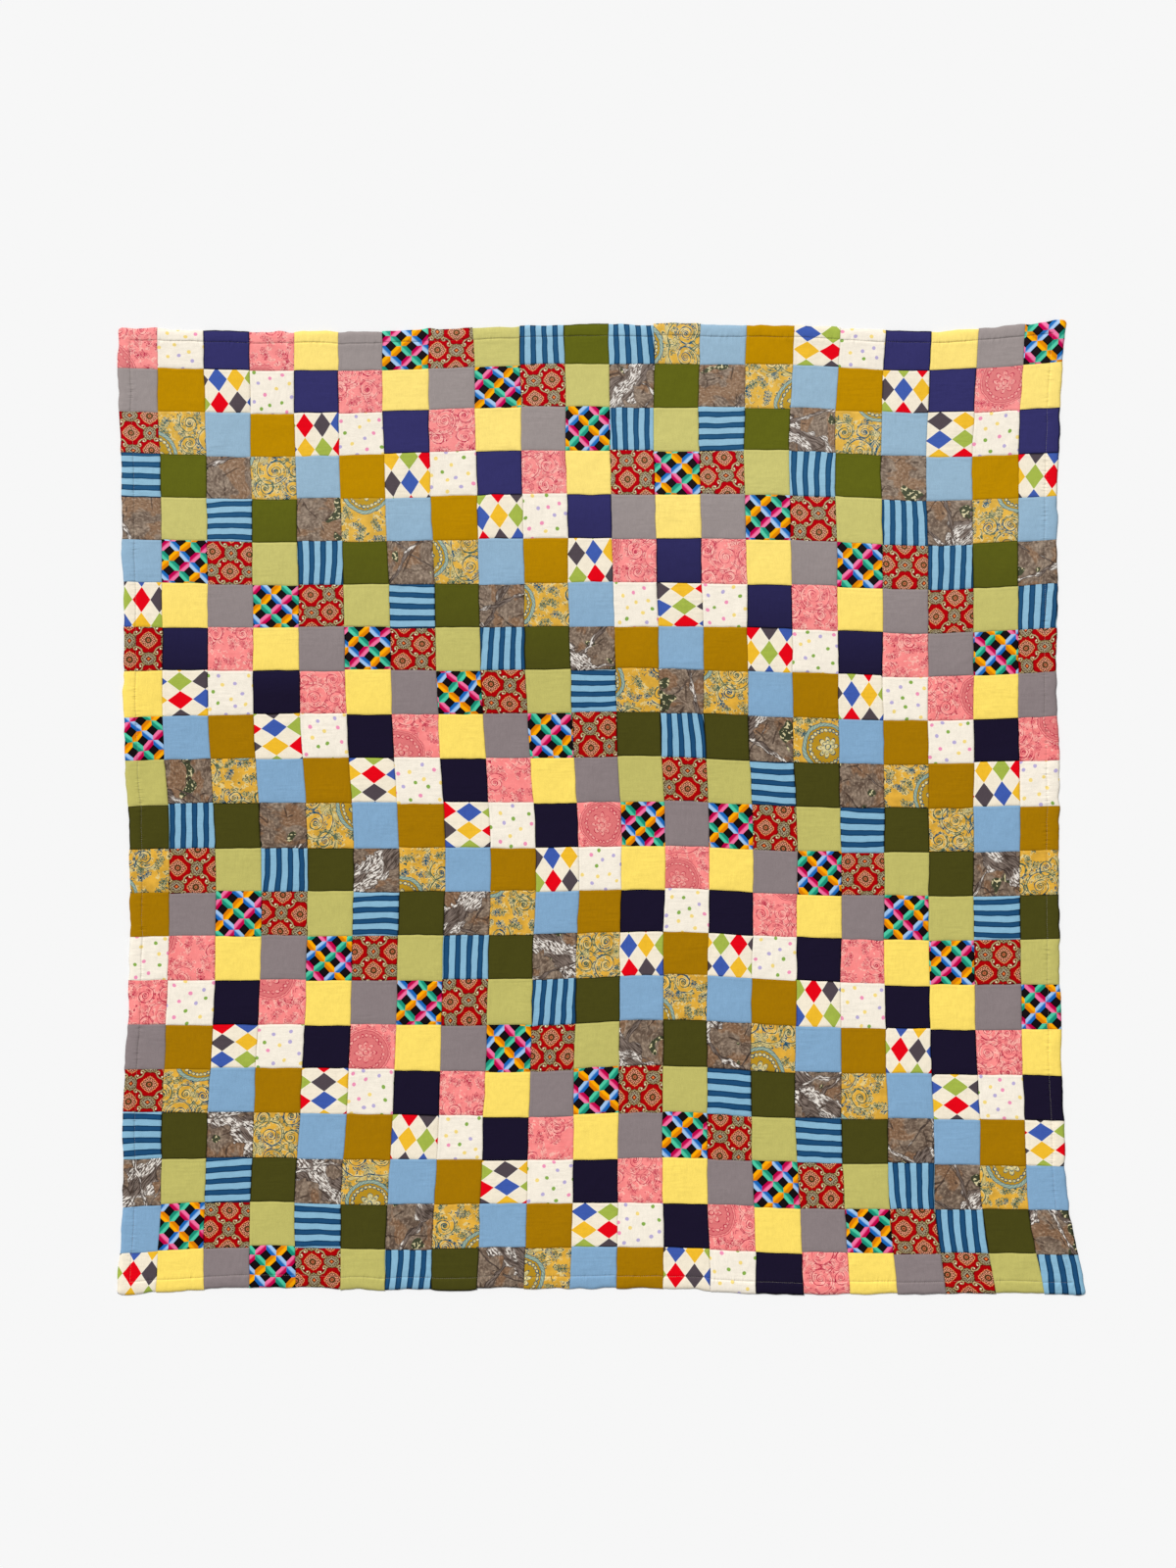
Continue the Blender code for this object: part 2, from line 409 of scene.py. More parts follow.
def cloth_height(strips, rows, x, y):
    """The height of the patched face over a grid on one strip."""
    left, right, side = (d[None, :] for d in distances(STRIPS, SQUARE_WIDTH, SIDE_WIDTH, strips))
    above, below, end = (d[:, None] for d in distances(ROWS, SQUARE_LENGTH, END_LENGTH, rows))
    rise = puff(left) * puff(right) * puff(above) * puff(below)
    low = SEAM_HEIGHT - SEAM_DEPTH
    height = low + (CROWN_HEIGHT - SEAM_HEIGHT + SEAM_DEPTH) * rise
    ledges = allowance(left) * np.clip(above / LEDGE_START, 0, 1)
    ledges = ledges + allowance(above) * np.clip(left / LEDGE_START, 0, 1)
    height = height + ALLOWANCE_RISE * np.minimum(ledges, LEDGES_MOST)
    seam_x, seam_y = np.minimum(left, right), np.minimum(above, below)
    seam = np.minimum(seam_x, seam_y)
    gather = noise("gather at upright seams", x, y) * np.exp(-seam_x / PUCKER_REACH)
    gather = gather + noise("gather at level seams", x, y) * np.exp(-seam_y / PUCKER_REACH)
    height = height + PUCKER_RISE * gather * np.clip(seam / PUCKER_START, 0, 1)
    height = height + WAVE_RISE * noise("waves", x, y) * rise
    height = height + UNEVEN_RISE * noise("unevenness", x, y) * rise

    inset = np.minimum(side, end)
    hem = np.interp(inset, *zip(*HEM_PROFILE))
    hem = low + (hem - low) * puff(seam + HEM_SEAM)
    waves = noise("hem waves", x, y) * np.clip(inset / HEM_WAVE_START, 0, 1)
    waves = waves * np.exp(-inset / HEM_WAVE_REACH)
    at_sides = noise("gather at side stitches", x, y)
    at_ends = noise("gather at end stitches", x, y)
    drawn = np.where(side < end, at_sides, at_ends)
    drawn = drawn * np.exp(-np.abs(inset - HEM_INSET) / HEM_PUCKER_REACH)
    hem = hem + HEM_WAVE_RISE * waves + HEM_PUCKER_RISE * drawn
    return np.where(inset < HEM_PROFILE[-1][0], np.minimum(hem, height + HEM_PROUD), height)


# ---------------------------------------------------------------- the strips as meshes

TURNED_AT_RANDOM = ("pink_scroll", "ochre_scroll", "bark", "dots", "ribbon")
OFF_GRAIN = 4.0            # degrees by which a square is cut askew, at most
GRAIN_BOW = 1.0            # how far the grain bows over a square, in metres per square metre

# The edge of the cloth between its face and its underside: outward reach, and share of height.
EDGE_FOLD = ((0.0009, 0.5), (0.0, 0.0))
BAKE_CELLS = 5             # squares side by side in the flat layout, in both directions
BAKE_FACE = 0.184          # a square's share of the layout's width
BAKE_EDGE = 0.0022         # the share of each ring of the cloth's edge
BAKE_BACK = 0.056          # the share of a square's underside
BAKE_MARGIN = 0.004
WRONG_SIDE = 2.0           # added to the V of the UV map "Square" on the underside


def bake_corner(square):
    """The corner of a square's cell in the flat layout."""
    return (square % BAKE_CELLS) / BAKE_CELLS, (square // BAKE_CELLS) / BAKE_CELLS


def back_corner(square):
    """The corner of a square's underside, in the cells that the faces leave."""
    cell_x, cell_y = bake_corner(ROWS + square // 9)
    slot = square % 9
    side = 3 * BAKE_CELLS
    return cell_x + BAKE_MARGIN + slot % 3 / side, cell_y + BAKE_MARGIN + slot // 3 / side


def underside_spans(index, count, first):
    """Stretches of a square's mesh lines on the underside: from, to, and if on the hem."""
    last = first + CELLS
    if index == 0:
        return (first, first + HEM_LINES, True), (first + HEM_LINES, last, False)
    if index == count - 1:
        return (first, last - HEM_LINES, False), (last - HEM_LINES, last, True)
    return ((first, last, False),)


def new_piece(name, points, faces, materials):
    """A smooth mesh object in the scene."""
    mesh = bpy.data.meshes.new(name)
    mesh.from_pydata(points, [], faces)
    mesh.polygons.foreach_set("use_smooth", [True] * len(faces))
    for material in materials:
        mesh.materials.append(material)
    return add_object(name, mesh)


def add_object(name, data):
    thing = bpy.data.objects.new(name, data)
    bpy.context.scene.collection.objects.link(thing)
    return thing


class StripMesh:
    """One strip's mesh: its points, faces and fabrics, and four UV maps.

    Cloth is the place on the uncut cloth, and Hem the way in from the quilt's sides and ends, in
    metres. Square is the place in the square, and OFBake lays all faces out flat side by side.
    """

    def __init__(self, column):
        self.column = column
        first = column * CELLS
        self.strips = ACROSS[first:first + CELLS + 1]
        self.x, self.y = swayed(*place(column, self.strips, DOWN), self.strips, DOWN)
        self.z = cloth_height(self.strips, DOWN, self.x, self.y) + creases(column, self.x, self.y)
        self.points = np.stack([self.x, self.y, self.z], axis=-1).reshape(-1, 3).tolist()
        self.faces = []
        self.fabrics = []
        self.maps = {"Cloth": [], "Square": [], "Hem": [], "OFBake": []}
        draw = random.Random(SEED * 1000 + column)
        self.lays = [self.draw_lay(draw, row) for row in range(ROWS)]

    def draw_lay(self, draw, row):
        """How a square was cut from its cloth: a place on the print, and its turn."""
        fabric = fabric_of(row + 1, self.column + 1)
        start = (draw.uniform(0, 2), draw.uniform(0, 2))
        turn = draw.choice((0, 1, 2, 3)) if fabric in TURNED_AT_RANDOM else 0
        if (row + 1, self.column + 1) in SIDEWAYS.get(fabric, ()):
            turn = 1
        lean = math.radians(draw.uniform(-OFF_GRAIN, OFF_GRAIN))
        bows = [draw.uniform(-GRAIN_BOW, GRAIN_BOW) for _ in range(4)]
        return {"fabric": fabric, "start": start, "turn": turn, "lean": lean, "bows": bows}

    def on_cloth(self, row, part_x, part_y):
        """The place on the uncut cloth of a point in a square, in metres."""
        width = SIDE_WIDTH if self.column in (0, STRIPS - 1) else SQUARE_WIDTH
        length = END_LENGTH if row in (0, ROWS - 1) else SQUARE_LENGTH
        x, y = (part_x - 0.5) * width, (0.5 - part_y) * length
        lay = self.lays[row]
        bows, lean = lay["bows"], lay["lean"]
        across = x + bows[0] * y * y + bows[1] * x * y - lean * y
        up = y + bows[2] * x * x + bows[3] * x * y + lean * x
        for _ in range(lay["turn"]):
            across, up = -up, across
        return lay["start"][0] + across, lay["start"][1] + up

    def insets(self, row, part_x, part_y):
        """How far a point in a square lies in from the quilt's sides and ends, in metres."""
        def way_in(part, index, count, size):
            near = part * size if index == 0 else SIDE_WIDTH
            far = (1 - part) * size if index == count - 1 else SIDE_WIDTH
            return min(near, far)

        side = way_in(part_x, self.column, STRIPS, SIDE_WIDTH)
        return side, way_in(part_y, row, ROWS, END_LENGTH)

    def add(self, row, points, parts, bake, side=0.0):
        """Add a face: its points, their places in the square and in the flat layout."""
        self.faces.append(points)
        self.fabrics.append(self.lays[row]["fabric"])
        for (part_x, part_y), spot in zip(parts, bake):
            self.maps["Cloth"].extend(self.on_cloth(row, part_x, part_y))
            self.maps["Square"].extend((part_x, 1 - part_y + side))
            self.maps["Hem"].extend(self.insets(row, part_x, part_y))
            self.maps["OFBake"].extend(spot)

    def face_spot(self, row, part_x, part_y, out_x=0, out_y=0):
        """A face point's place in the flat layout, with rings of the edge outside the square."""
        corner_x, corner_y = bake_corner(row)
        gap = (1 / BAKE_CELLS - BAKE_FACE) / 2
        return (
            corner_x + gap + BAKE_FACE * part_x + BAKE_EDGE * out_x,
            corner_y + gap + BAKE_FACE * (1 - part_y) - BAKE_EDGE * out_y,
        )

    def build_face(self):
        """The patched side."""
        wide = CELLS + 1
        for line in range(len(DOWN) - 1):
            row = min(int(DOWN[line]), ROWS - 1)
            high, low = DOWN[line] - row, DOWN[line + 1] - row
            for i in range(CELLS):
                left, right = self.strips[i] - self.column, self.strips[i + 1] - self.column
                at = line * wide + i
                parts = ((left, high), (left, low), (right, low), (right, high))
                bake = [self.face_spot(row, *part) for part in parts]
                self.add(row, (at, at + wide, at + wide + 1, at + 1), parts, bake)

    def rim(self):
        """The loop of the face's outer points: (line, i), seen from above against the clock."""
        last = len(DOWN) - 1
        loop = [(line, 0) for line in range(last)]
        loop += [(last, i) for i in range(CELLS)]
        loop += [(line, CELLS) for line in range(last, 0, -1)]
        return loop + [(0, i) for i in range(CELLS, 0, -1)]

    def outward(self, line, i):
        """The way out of the quilt at a rim point, or nothing on a sewn side."""
        x = (i == CELLS and self.column == STRIPS - 1) - (i == 0 and self.column == 0)
        y = (line == 0) - (line == len(DOWN) - 1)
        long = math.hypot(x, y) or 1
        return x / long, y / long

    def build_edges(self):
        """Rings from the face's rim down to the underside; returns the last one's points."""
        loop = self.rim()
        ring = [line * (CELLS + 1) + i for line, i in loop]
        for depth, (reach, share) in enumerate(EDGE_FOLD):
            lower = [len(self.points) + k for k in range(len(loop))]
            for line, i in loop:
                out_x, out_y = self.outward(line, i)
                self.points.append([
                    self.x[line, i] + reach * out_x,
                    self.y[line, i] + reach * out_y,
                    self.z[line, i] * share,
                ])
            for k, (line, i) in enumerate(loop):
                after = (k + 1) % len(loop)
                next_line, next_i = loop[after]
                row = min(int(min(DOWN[line], DOWN[next_line])), ROWS - 1)
                here = self.part(row, line, i)
                there = self.part(row, next_line, next_i)
                way_x = (i == next_i == CELLS) - (i == next_i == 0)
                way_y = (line == next_line != 0) - (line == next_line == 0)
                parts, outs = (here, here, there, there), (depth, depth + 1, depth + 1, depth)
                bake = [self.face_spot(row, *part, way_x * out, way_y * out)
                        for part, out in zip(parts, outs)]
                self.add(row, (ring[k], lower[k], lower[after], ring[after]), parts, bake)
            ring = lower
        return dict(zip(loop, ring))

    def part(self, row, line, i):
        """Where a mesh point lies in its square, as shares of the square's sides."""
        return self.strips[i] - self.column, DOWN[line] - row

    def build_underside(self, known):
        """The wrong side: one flat face for each square, and the hem's turned-up band."""
        for row in range(ROWS):
            for y0, y1, on_end in underside_spans(row, ROWS, row * CELLS):
                for x0, x1, on_side in underside_spans(self.column, STRIPS, 0):
                    side = 0.0 if on_end or on_side else WRONG_SIDE
                    self.add_underside(row, (x0, x1), (y0, y1), known, side)

    def add_underside(self, row, span_x, span_y, known, side):
        """One flat face of the underside. Points made before are known by (line, i)."""
        (x0, x1), (y0, y1) = span_x, span_y
        outline = [(y0, i) for i in range(x0, x1)] + [(line, x1) for line in range(y0, y1)]
        outline += [(y1, i) for i in range(x1, x0, -1)] + [(line, x0) for line in range(y1, y0, -1)]
        corners = {(y0, x0), (y0, x1), (y1, x0), (y1, x1)}
        corner_x, corner_y = back_corner(row)
        points, parts, bake = [], [], []
        for spot in outline:
            if spot not in known:
                if spot[0] % CELLS and spot not in corners:
                    continue
                known[spot] = len(self.points)
                self.points.append([self.x[spot], self.y[spot], 0.0])
            part_x, part_y = self.part(row, *spot)
            points.append(known[spot])
            parts.append((part_x, part_y))
            bake.append((corner_x + BAKE_BACK * part_x, corner_y + BAKE_BACK * (1 - part_y)))
        self.add(row, tuple(points), parts, bake, side)

    def make(self, name, materials):
        """Build the strip's object."""
        self.build_face()
        self.build_underside(self.build_edges())
        used = [fabric for fabric in CYCLE if fabric in self.fabrics]
        piece = new_piece(name, self.points, self.faces, [materials[fabric] for fabric in used])
        mesh = piece.data
        slots = [used.index(fabric) for fabric in self.fabrics]
        mesh.polygons.foreach_set("material_index", slots)
        for layer, values in self.maps.items():
            mesh.uv_layers.new(name=layer).data.foreach_set("uv", values)
        mesh.update()
        return piece


# ---------------------------------------------------------------- node building


def rgb(red, green, blue):
    """A colour given as screen values from 0 to 255, as a node socket takes it."""
    def even(value):
        share = value / 255
        return share / 12.92 if share <= 0.04045 else ((share + 0.055) / 1.055) ** 2.4
    return even(red), even(green), even(blue), 1.0


def in_mm(*metres):
    """Values in metres, turned to millimetres."""
    return [value * 1000.0 for value in metres]


def maths(operation, swapped=False):
    """A method of Value that adds one Math node."""
    def method(self, *others):
        values = (self, *others)
        return self.nodes.math(operation, *(reversed(values) if swapped else values))
    return method


class Value:
    """An output in a node tree. Arithmetic with it adds the nodes that work it out."""

    def __init__(self, nodes, socket):
        self.nodes = nodes
        self.socket = socket

    __add__ = maths("ADD")
    __radd__ = maths("ADD", swapped=True)
    __sub__ = maths("SUBTRACT")
    __rsub__ = maths("SUBTRACT", swapped=True)
    __mul__ = maths("MULTIPLY")
    __truediv__ = maths("DIVIDE")
    __mod__ = maths("FLOORED_MODULO")
    __pow__ = maths("POWER")
    __lt__ = maths("LESS_THAN")
    __gt__ = maths("GREATER_THAN")
    __abs__ = maths("ABSOLUTE")
    floor = maths("FLOOR")
    fraction = maths("FRACT")
    nearest = maths("ROUND")
    sign = maths("SIGN")
    sine = maths("SINE")
    cosine = maths("COSINE")

    def __neg__(self):
        return self * -1.0

    def log(self):
        return self.nodes.math("LOGARITHM", self, math.e)

    def centred(self):
        """This value less its nearest whole number, from -0.5 to 0.5."""
        return (self + 0.5).fraction() - 0.5

    def odd(self):
        """1 where the nearest whole number is odd, 0 where it is even."""
        return self.nearest() % 2.0

    def fit(self, low, high, out_low=0.0, out_high=1.0):
        """This value moved from the range low..high to out_low..out_high, clamped."""
        inputs = dict(enumerate((self, low, high, out_low, out_high)))
        return self.nodes.value("ShaderNodeMapRange", inputs, clamp=True)

    def below(self, limit, blur):
        """1 under the limit and 0 above it, with a soft step as wide as blur."""
        return self.fit(limit - blur / 2, limit + blur / 2, 1.0, 0.0)


class Nodes:
    """Builds a node tree from numbers, colours and Values."""

    def __init__(self, tree):
        self.tree = tree

    def feed(self, node, inputs):
        """Set a node's inputs, each under its name or number."""
        for name, value in inputs.items():
            if isinstance(value, Value):
                self.tree.links.new(value.socket, node.inputs[name])
            else:
                node.inputs[name].default_value = value

    def add(self, kind, inputs=None, **settings):
        """Add a node with its settings and inputs."""
        node = self.tree.nodes.new(kind)
        for name, value in settings.items():
            setattr(node, name, value)
        self.feed(node, inputs or {})
        return node

    def value(self, kind, inputs=None, output=0, **settings):
        """Add a node and return one of its outputs."""
        return Value(self, self.add(kind, inputs, **settings).outputs[output])

    def math(self, operation, *values):
        return self.value("ShaderNodeMath", dict(enumerate(values)), operation=operation)

    def least(self, first, *others):
        for other in others:
            first = self.math("MINIMUM", first, other)
        return first

    def most(self, first, second):
        return self.math("MAXIMUM", first, second)

    def angle(self, x, y):
        """The turn from +X towards +Y at which a place lies, in radians."""
        return self.math("ARCTAN2", y, x)

    def length(self, x, y):
        return self.math("SQRT", x * x + y * y)

    def mix(self, share, first, second, blend="MIX"):
        """Two colours mixed, with this share of the second."""
        inputs = {0: share, 6: first, 7: second}
        return self.value("ShaderNodeMix", inputs, 2, data_type="RGBA", blend_type=blend)

    def paint(self, under, *layers):
        """Colours laid over each other: each layer is (mask, colour)."""
        for mask, colour in layers:
            under = self.mix(mask, under, colour)
        return under

    def pick(self, value, colours):
        """One of the colours, by a value from 0 to 1 cut into even steps."""
        node = self.add("ShaderNodeValToRGB", {0: value})
        ramp = node.color_ramp
        ramp.interpolation = "CONSTANT"
        ramp.elements.remove(ramp.elements[1])
        ramp.elements[0].color = colours[0]
        for k, colour in enumerate(colours[1:], start=1):
            ramp.elements.new(k / len(colours)).color = colour
        return Value(self, node.outputs[0])

    def vector(self, x, y, z=0.0):
        return self.value("ShaderNodeCombineXYZ", {0: x, 1: y, 2: z})

    def parts(self, vector):
        """The x, y and z of a vector, or the red, green and blue of a colour."""
        node = self.add("ShaderNodeSeparateXYZ", {0: vector})
        return [Value(self, socket) for socket in node.outputs]

    def uv(self, layer):
        return self.parts(self.value("ShaderNodeUVMap", uv_map=layer))[:2]

    def place(self):
        """Where a point lies: x, y and z in metres."""
        return self.parts(self.value("ShaderNodeTexCoord", output="Object"))

    def noise(self, x, y, cell_x, cell_y=None, detail=2.0, rough=0.5, shift=0.0):
        """Blender's noise from about 0 to 1 over (x, y), with features of the given size."""
        at = self.vector(x / cell_x + shift, y / (cell_x if cell_y is None else cell_y))
        inputs = {"Vector": at, "Scale": 1.0, "Detail": detail, "Roughness": rough}
        return self.value("ShaderNodeTexNoise", inputs, "Fac", noise_dimensions="2D")

    def sway(self, x, y, reach, *cells, **how):
        """Noise about 0, as far from its lowest to its highest as reach."""
        return (self.noise(x, y, *cells, **how) - 0.5) * reach

    def cells(self, x, y, cell, feature="F1", random_place=1.0):
        """Blender's Voronoi cells over (x, y): its outputs by name, with lengths in cells."""
        inputs = {"Vector": self.vector(x / cell, y / cell), "Scale": 1.0, "Randomness": random_place}
        node = self.add("ShaderNodeTexVoronoi", voronoi_dimensions="2D", feature=feature)
        self.feed(node, inputs)
        return {name: Value(self, socket) for name, socket in node.outputs.items()}




# ---------------------------------------------------------------- the prints, in millimetres


def dots(nodes, u, v):
    """White cotton with small dots in four colours, on a turned lattice."""
    pitch, lean, radius = 28.0, 0.42, 4.2
    across = (u + v * lean) * math.cos(lean)
    up = (v - u * lean) * math.cos(lean)
    strewn = nodes.cells(across, up, pitch, random_place=0.42)
    uneven = nodes.noise(u, v, 9.0, detail=0.0).fit(0.3, 0.7, -0.35, 0.35)
    reach = strewn["Distance"] * pitch + uneven
    pink, green = rgb(242, 148, 184), rgb(136, 174, 76)
    lilac, gold = rgb(186, 174, 214), rgb(246, 218, 128)
    colours = (gold, lilac, pink, green, gold, lilac, pink, gold, lilac, green)
    colour = nodes.pick(nodes.parts(strewn["Color"])[0], colours)
    return nodes.mix(reach.below(radius, 0.8), rgb(247, 238, 222), colour)


def stripes(nodes, u, v):
    """Woven stripes, dark and light blue, with darker lines on the dark ones' edges."""
    repeat, dark_width, fine_pitch = 25.4, 12.3, 2.3
    across = ((u + nodes.sway(u, v, 2.2, 26, 34)) / repeat).centred() * repeat
    aside = abs(across)
    fine = abs((u / fine_pitch).centred()).below(0.2, 0.1)
    blue = nodes.mix(fine * 0.35, rgb(41, 90, 131), rgb(28, 74, 112))
    edge = abs(aside - (dark_width / 2 - 1.1)).below(1.3, 1.0)
    blue = nodes.mix(edge * 0.85, blue, rgb(10, 62, 95))
    pale = nodes.mix(fine * 0.55, rgb(152, 195, 218), rgb(118, 164, 192))
    return nodes.mix(aside.below(dark_width / 2, 0.6), pale, blue)


def harlequin(nodes, u, v):
    """Coloured diamonds, point to point, on cream."""
    wide, tall, blunt = 40.5, 56.5, 0.007
    across, up = u / wide, v / tall
    colours = (
        rgb(232, 4, 24), rgb(84, 74, 80), rgb(66, 94, 174), rgb(242, 190, 48), rgb(166, 184, 76),
    )
    order = (across.nearest() + up.nearest() * 2.0) % 5.0
    colour = nodes.pick((order + 0.5) / 5.0, colours)
    reach = nodes.length(across.centred(), blunt) + nodes.length(up.centred(), blunt)
    return nodes.paint(
        rgb(245, 234, 212),
        (reach.below(0.532, 0.02), rgb(251, 244, 228)),
        (reach.below(0.503, 0.014), colour),
    )


def ribbon(nodes, u, v):
    """A slanting trellis of folded two-tone ribbons on black."""
    pitch, half_width, fold = 32.7, 0.232, 0.05
    a, b = (u + v) * math.sqrt(0.5) / pitch, (v - u) * math.sqrt(0.5) / pitch
    in_a, in_b = a.centred(), b.centred()
    to_a, to_b = 0.5 - abs(in_a), 0.5 - abs(in_b)

    def bars(at, inside, to_line, one, two):
        """Ribbons of two colours in turn, each in a light and a deep tone."""
        line = at.floor().odd()
        light, deep = (nodes.mix(line, first, second) for first, second in zip(one, two))
        colour = nodes.mix(inside < 0.0, deep, light)
        return nodes.mix(to_line.below(fold, 0.02) * 0.4, colour, nodes.mix(0.5, light, deep))

    pink, orange = (rgb(200, 0, 84), rgb(244, 124, 170)), (rgb(255, 178, 4), rgb(226, 136, 4))
    blue, teal = (rgb(168, 202, 238), rgb(34, 112, 190)), (rgb(90, 206, 170), rgb(32, 150, 126))
    middle = nodes.most(abs(in_a), abs(in_b)).below(0.205, 0.02)
    return nodes.paint(
        rgb(8, 4, 8),
        (middle, rgb(30, 22, 26)),
        (to_a.below(half_width, 0.02) * (to_a < to_b), bars(a, in_a, to_a, pink, orange)),
        (to_b.below(half_width, 0.02) * (to_b < to_a), bars(b, in_b, to_b, blue, teal)),
    )


def foulard(nodes, u, v):
    """Two kinds of small medallion in turn on red, joined by scrolls."""
    pitch, half_root = 42.0, math.sqrt(0.5)
    u = u + nodes.sway(u, v, 1.9, 5.5, detail=1.0, shift=1.0)
    v = v + nodes.sway(u, v, 1.9, 5.5, detail=1.0, shift=6.0)
    across, up = u / pitch, v / pitch
    x, y = across.centred() * pitch, up.centred() * pitch
    odd = (across.nearest() + up.nearest()).odd()
    upright = up.nearest().odd()
    angle, radius = nodes.angle(x, y), nodes.length(x, y)

    def petals(count, turn=0.0):
        return (angle * float(count) + turn).cosine()

    def rings(gap, turn):
        return (radius * (2 * math.pi / gap) + turn).cosine()

    # The pointed medallion: a toothed peach rim, rings of small petals and a dark eye.
    pointed_reach = (abs(x) / 19.6) ** 1.32 + (abs(y) / 19.2) ** 1.32 + petals(22) * 0.055
    small = petals(14, 0.8) * rings(7.2, 1.4)
    pointed = nodes.paint(
        rgb(214, 138, 110),
        (small.below(-0.05, 0.4), rgb(134, 74, 56)),
        ((-small).below(-0.25, 0.3), rgb(240, 182, 152)),
        (abs(pointed_reach - 0.78).below(0.05, 0.04), rgb(128, 92, 66)),
        ((0.92 - pointed_reach).below(0.0, 0.05), rgb(250, 172, 112)),
        (abs(radius - 5.6).below(1.7, 0.8), rgb(88, 70, 32)),
        (radius.below(3.2, 0.8), rgb(206, 116, 78)),
        (radius.below(1.4, 0.5), rgb(92, 52, 28)),
    )
    # The rounded medallion, grey green, longer one way, with a lozenge.
    part_x = abs(x) / upright.fit(0.0, 1.0, 16.4, 13.6)
    part_y = abs(y) / upright.fit(0.0, 1.0, 13.6, 16.4)
    rounded_reach = (part_x ** 1.8 + part_y ** 1.8) ** (1 / 1.8) + petals(14) * 0.04
    lozenge = part_x + part_y
    fleck = petals(12, 1.0) * rings(5.4, 1.0)
    rounded = nodes.paint(
        rgb(152, 126, 102),
        (fleck.below(-0.15, 0.3), rgb(80, 58, 44)),
        ((-fleck).below(-0.35, 0.3), rgb(186, 178, 152)),
        (abs(rounded_reach - 0.92).below(0.06, 0.05), rgb(168, 156, 112)),
        (abs(lozenge - 0.56).below(0.08, 0.05), rgb(184, 178, 148)),
        (lozenge.below(0.42, 0.06), rgb(112, 28, 14)),
        (lozenge.below(0.22, 0.06), rgb(242, 138, 76)),
    )
    # The scrolls arch from one rounded medallion to the next, past the cell's corner.
    turned, raised = across + 0.5, up + 0.5
    lower = raised.nearest()
    hand = 1.0 - (turned.nearest() + lower).odd() * 2.0
    bulge = hand * (lower.odd() * 2.0 - 1.0)
    corner_x, corner_y = turned.centred() * pitch, raised.centred() * pitch * hand
    along = abs((corner_x - corner_y) * half_root)
    aside = (corner_x + corner_y) * half_root * bulge
    arch = (along * 0.13).cosine() * 4.6 - 0.8
    stem = abs(aside - arch) + along.fit(11.5, 13.5, 0.0, 4.0)
    curl_along, curl_aside = along - 8.6, aside + 2.4
    open_side = (-curl_aside < -0.4) * (curl_along < 1.2)
    curl = abs(nodes.length(curl_along, curl_aside) - 3.4) + open_side * 9.0
    foot = abs(nodes.length(along - 14.4, aside + 0.6) - 2.4)
    scroll = nodes.least(stem, curl, foot + 0.3)
    tip = nodes.length(along - 5.4, aside + 2.2)
    # Brighter red in a ring about each pointed medallion.
    half_sum, half_gap = ((across + up) * 0.5).centred(), ((across - up) * 0.5).centred()
    ring = nodes.length((half_sum + half_gap) * pitch, (half_sum - half_gap) * pitch)
    even = 1.0 - odd
    return nodes.paint(
        rgb(140, 0, 15),
        (ring.below(27.5, 1.5), rgb(184, 0, 14)),
        (scroll.below(2.2, 0.6), rgb(110, 40, 24)),
        (scroll.below(1.45, 0.6), rgb(176, 158, 112)),
        (scroll.below(0.5, 0.4), rgb(206, 192, 150)),
        (tip.below(1.9, 0.6), rgb(238, 229, 200)),
        (rounded_reach.below(1.1, 0.05) * odd, rgb(92, 58, 34)),
        (rounded_reach.below(1.0, 0.05) * odd, rounded),
        (pointed_reach.below(1.1, 0.05) * even, rgb(168, 14, 22)),
        (pointed_reach.below(1.0, 0.05) * even, pointed),
    )


FAR = 50.0                 # a distance beyond any line's reach, where a line is left out


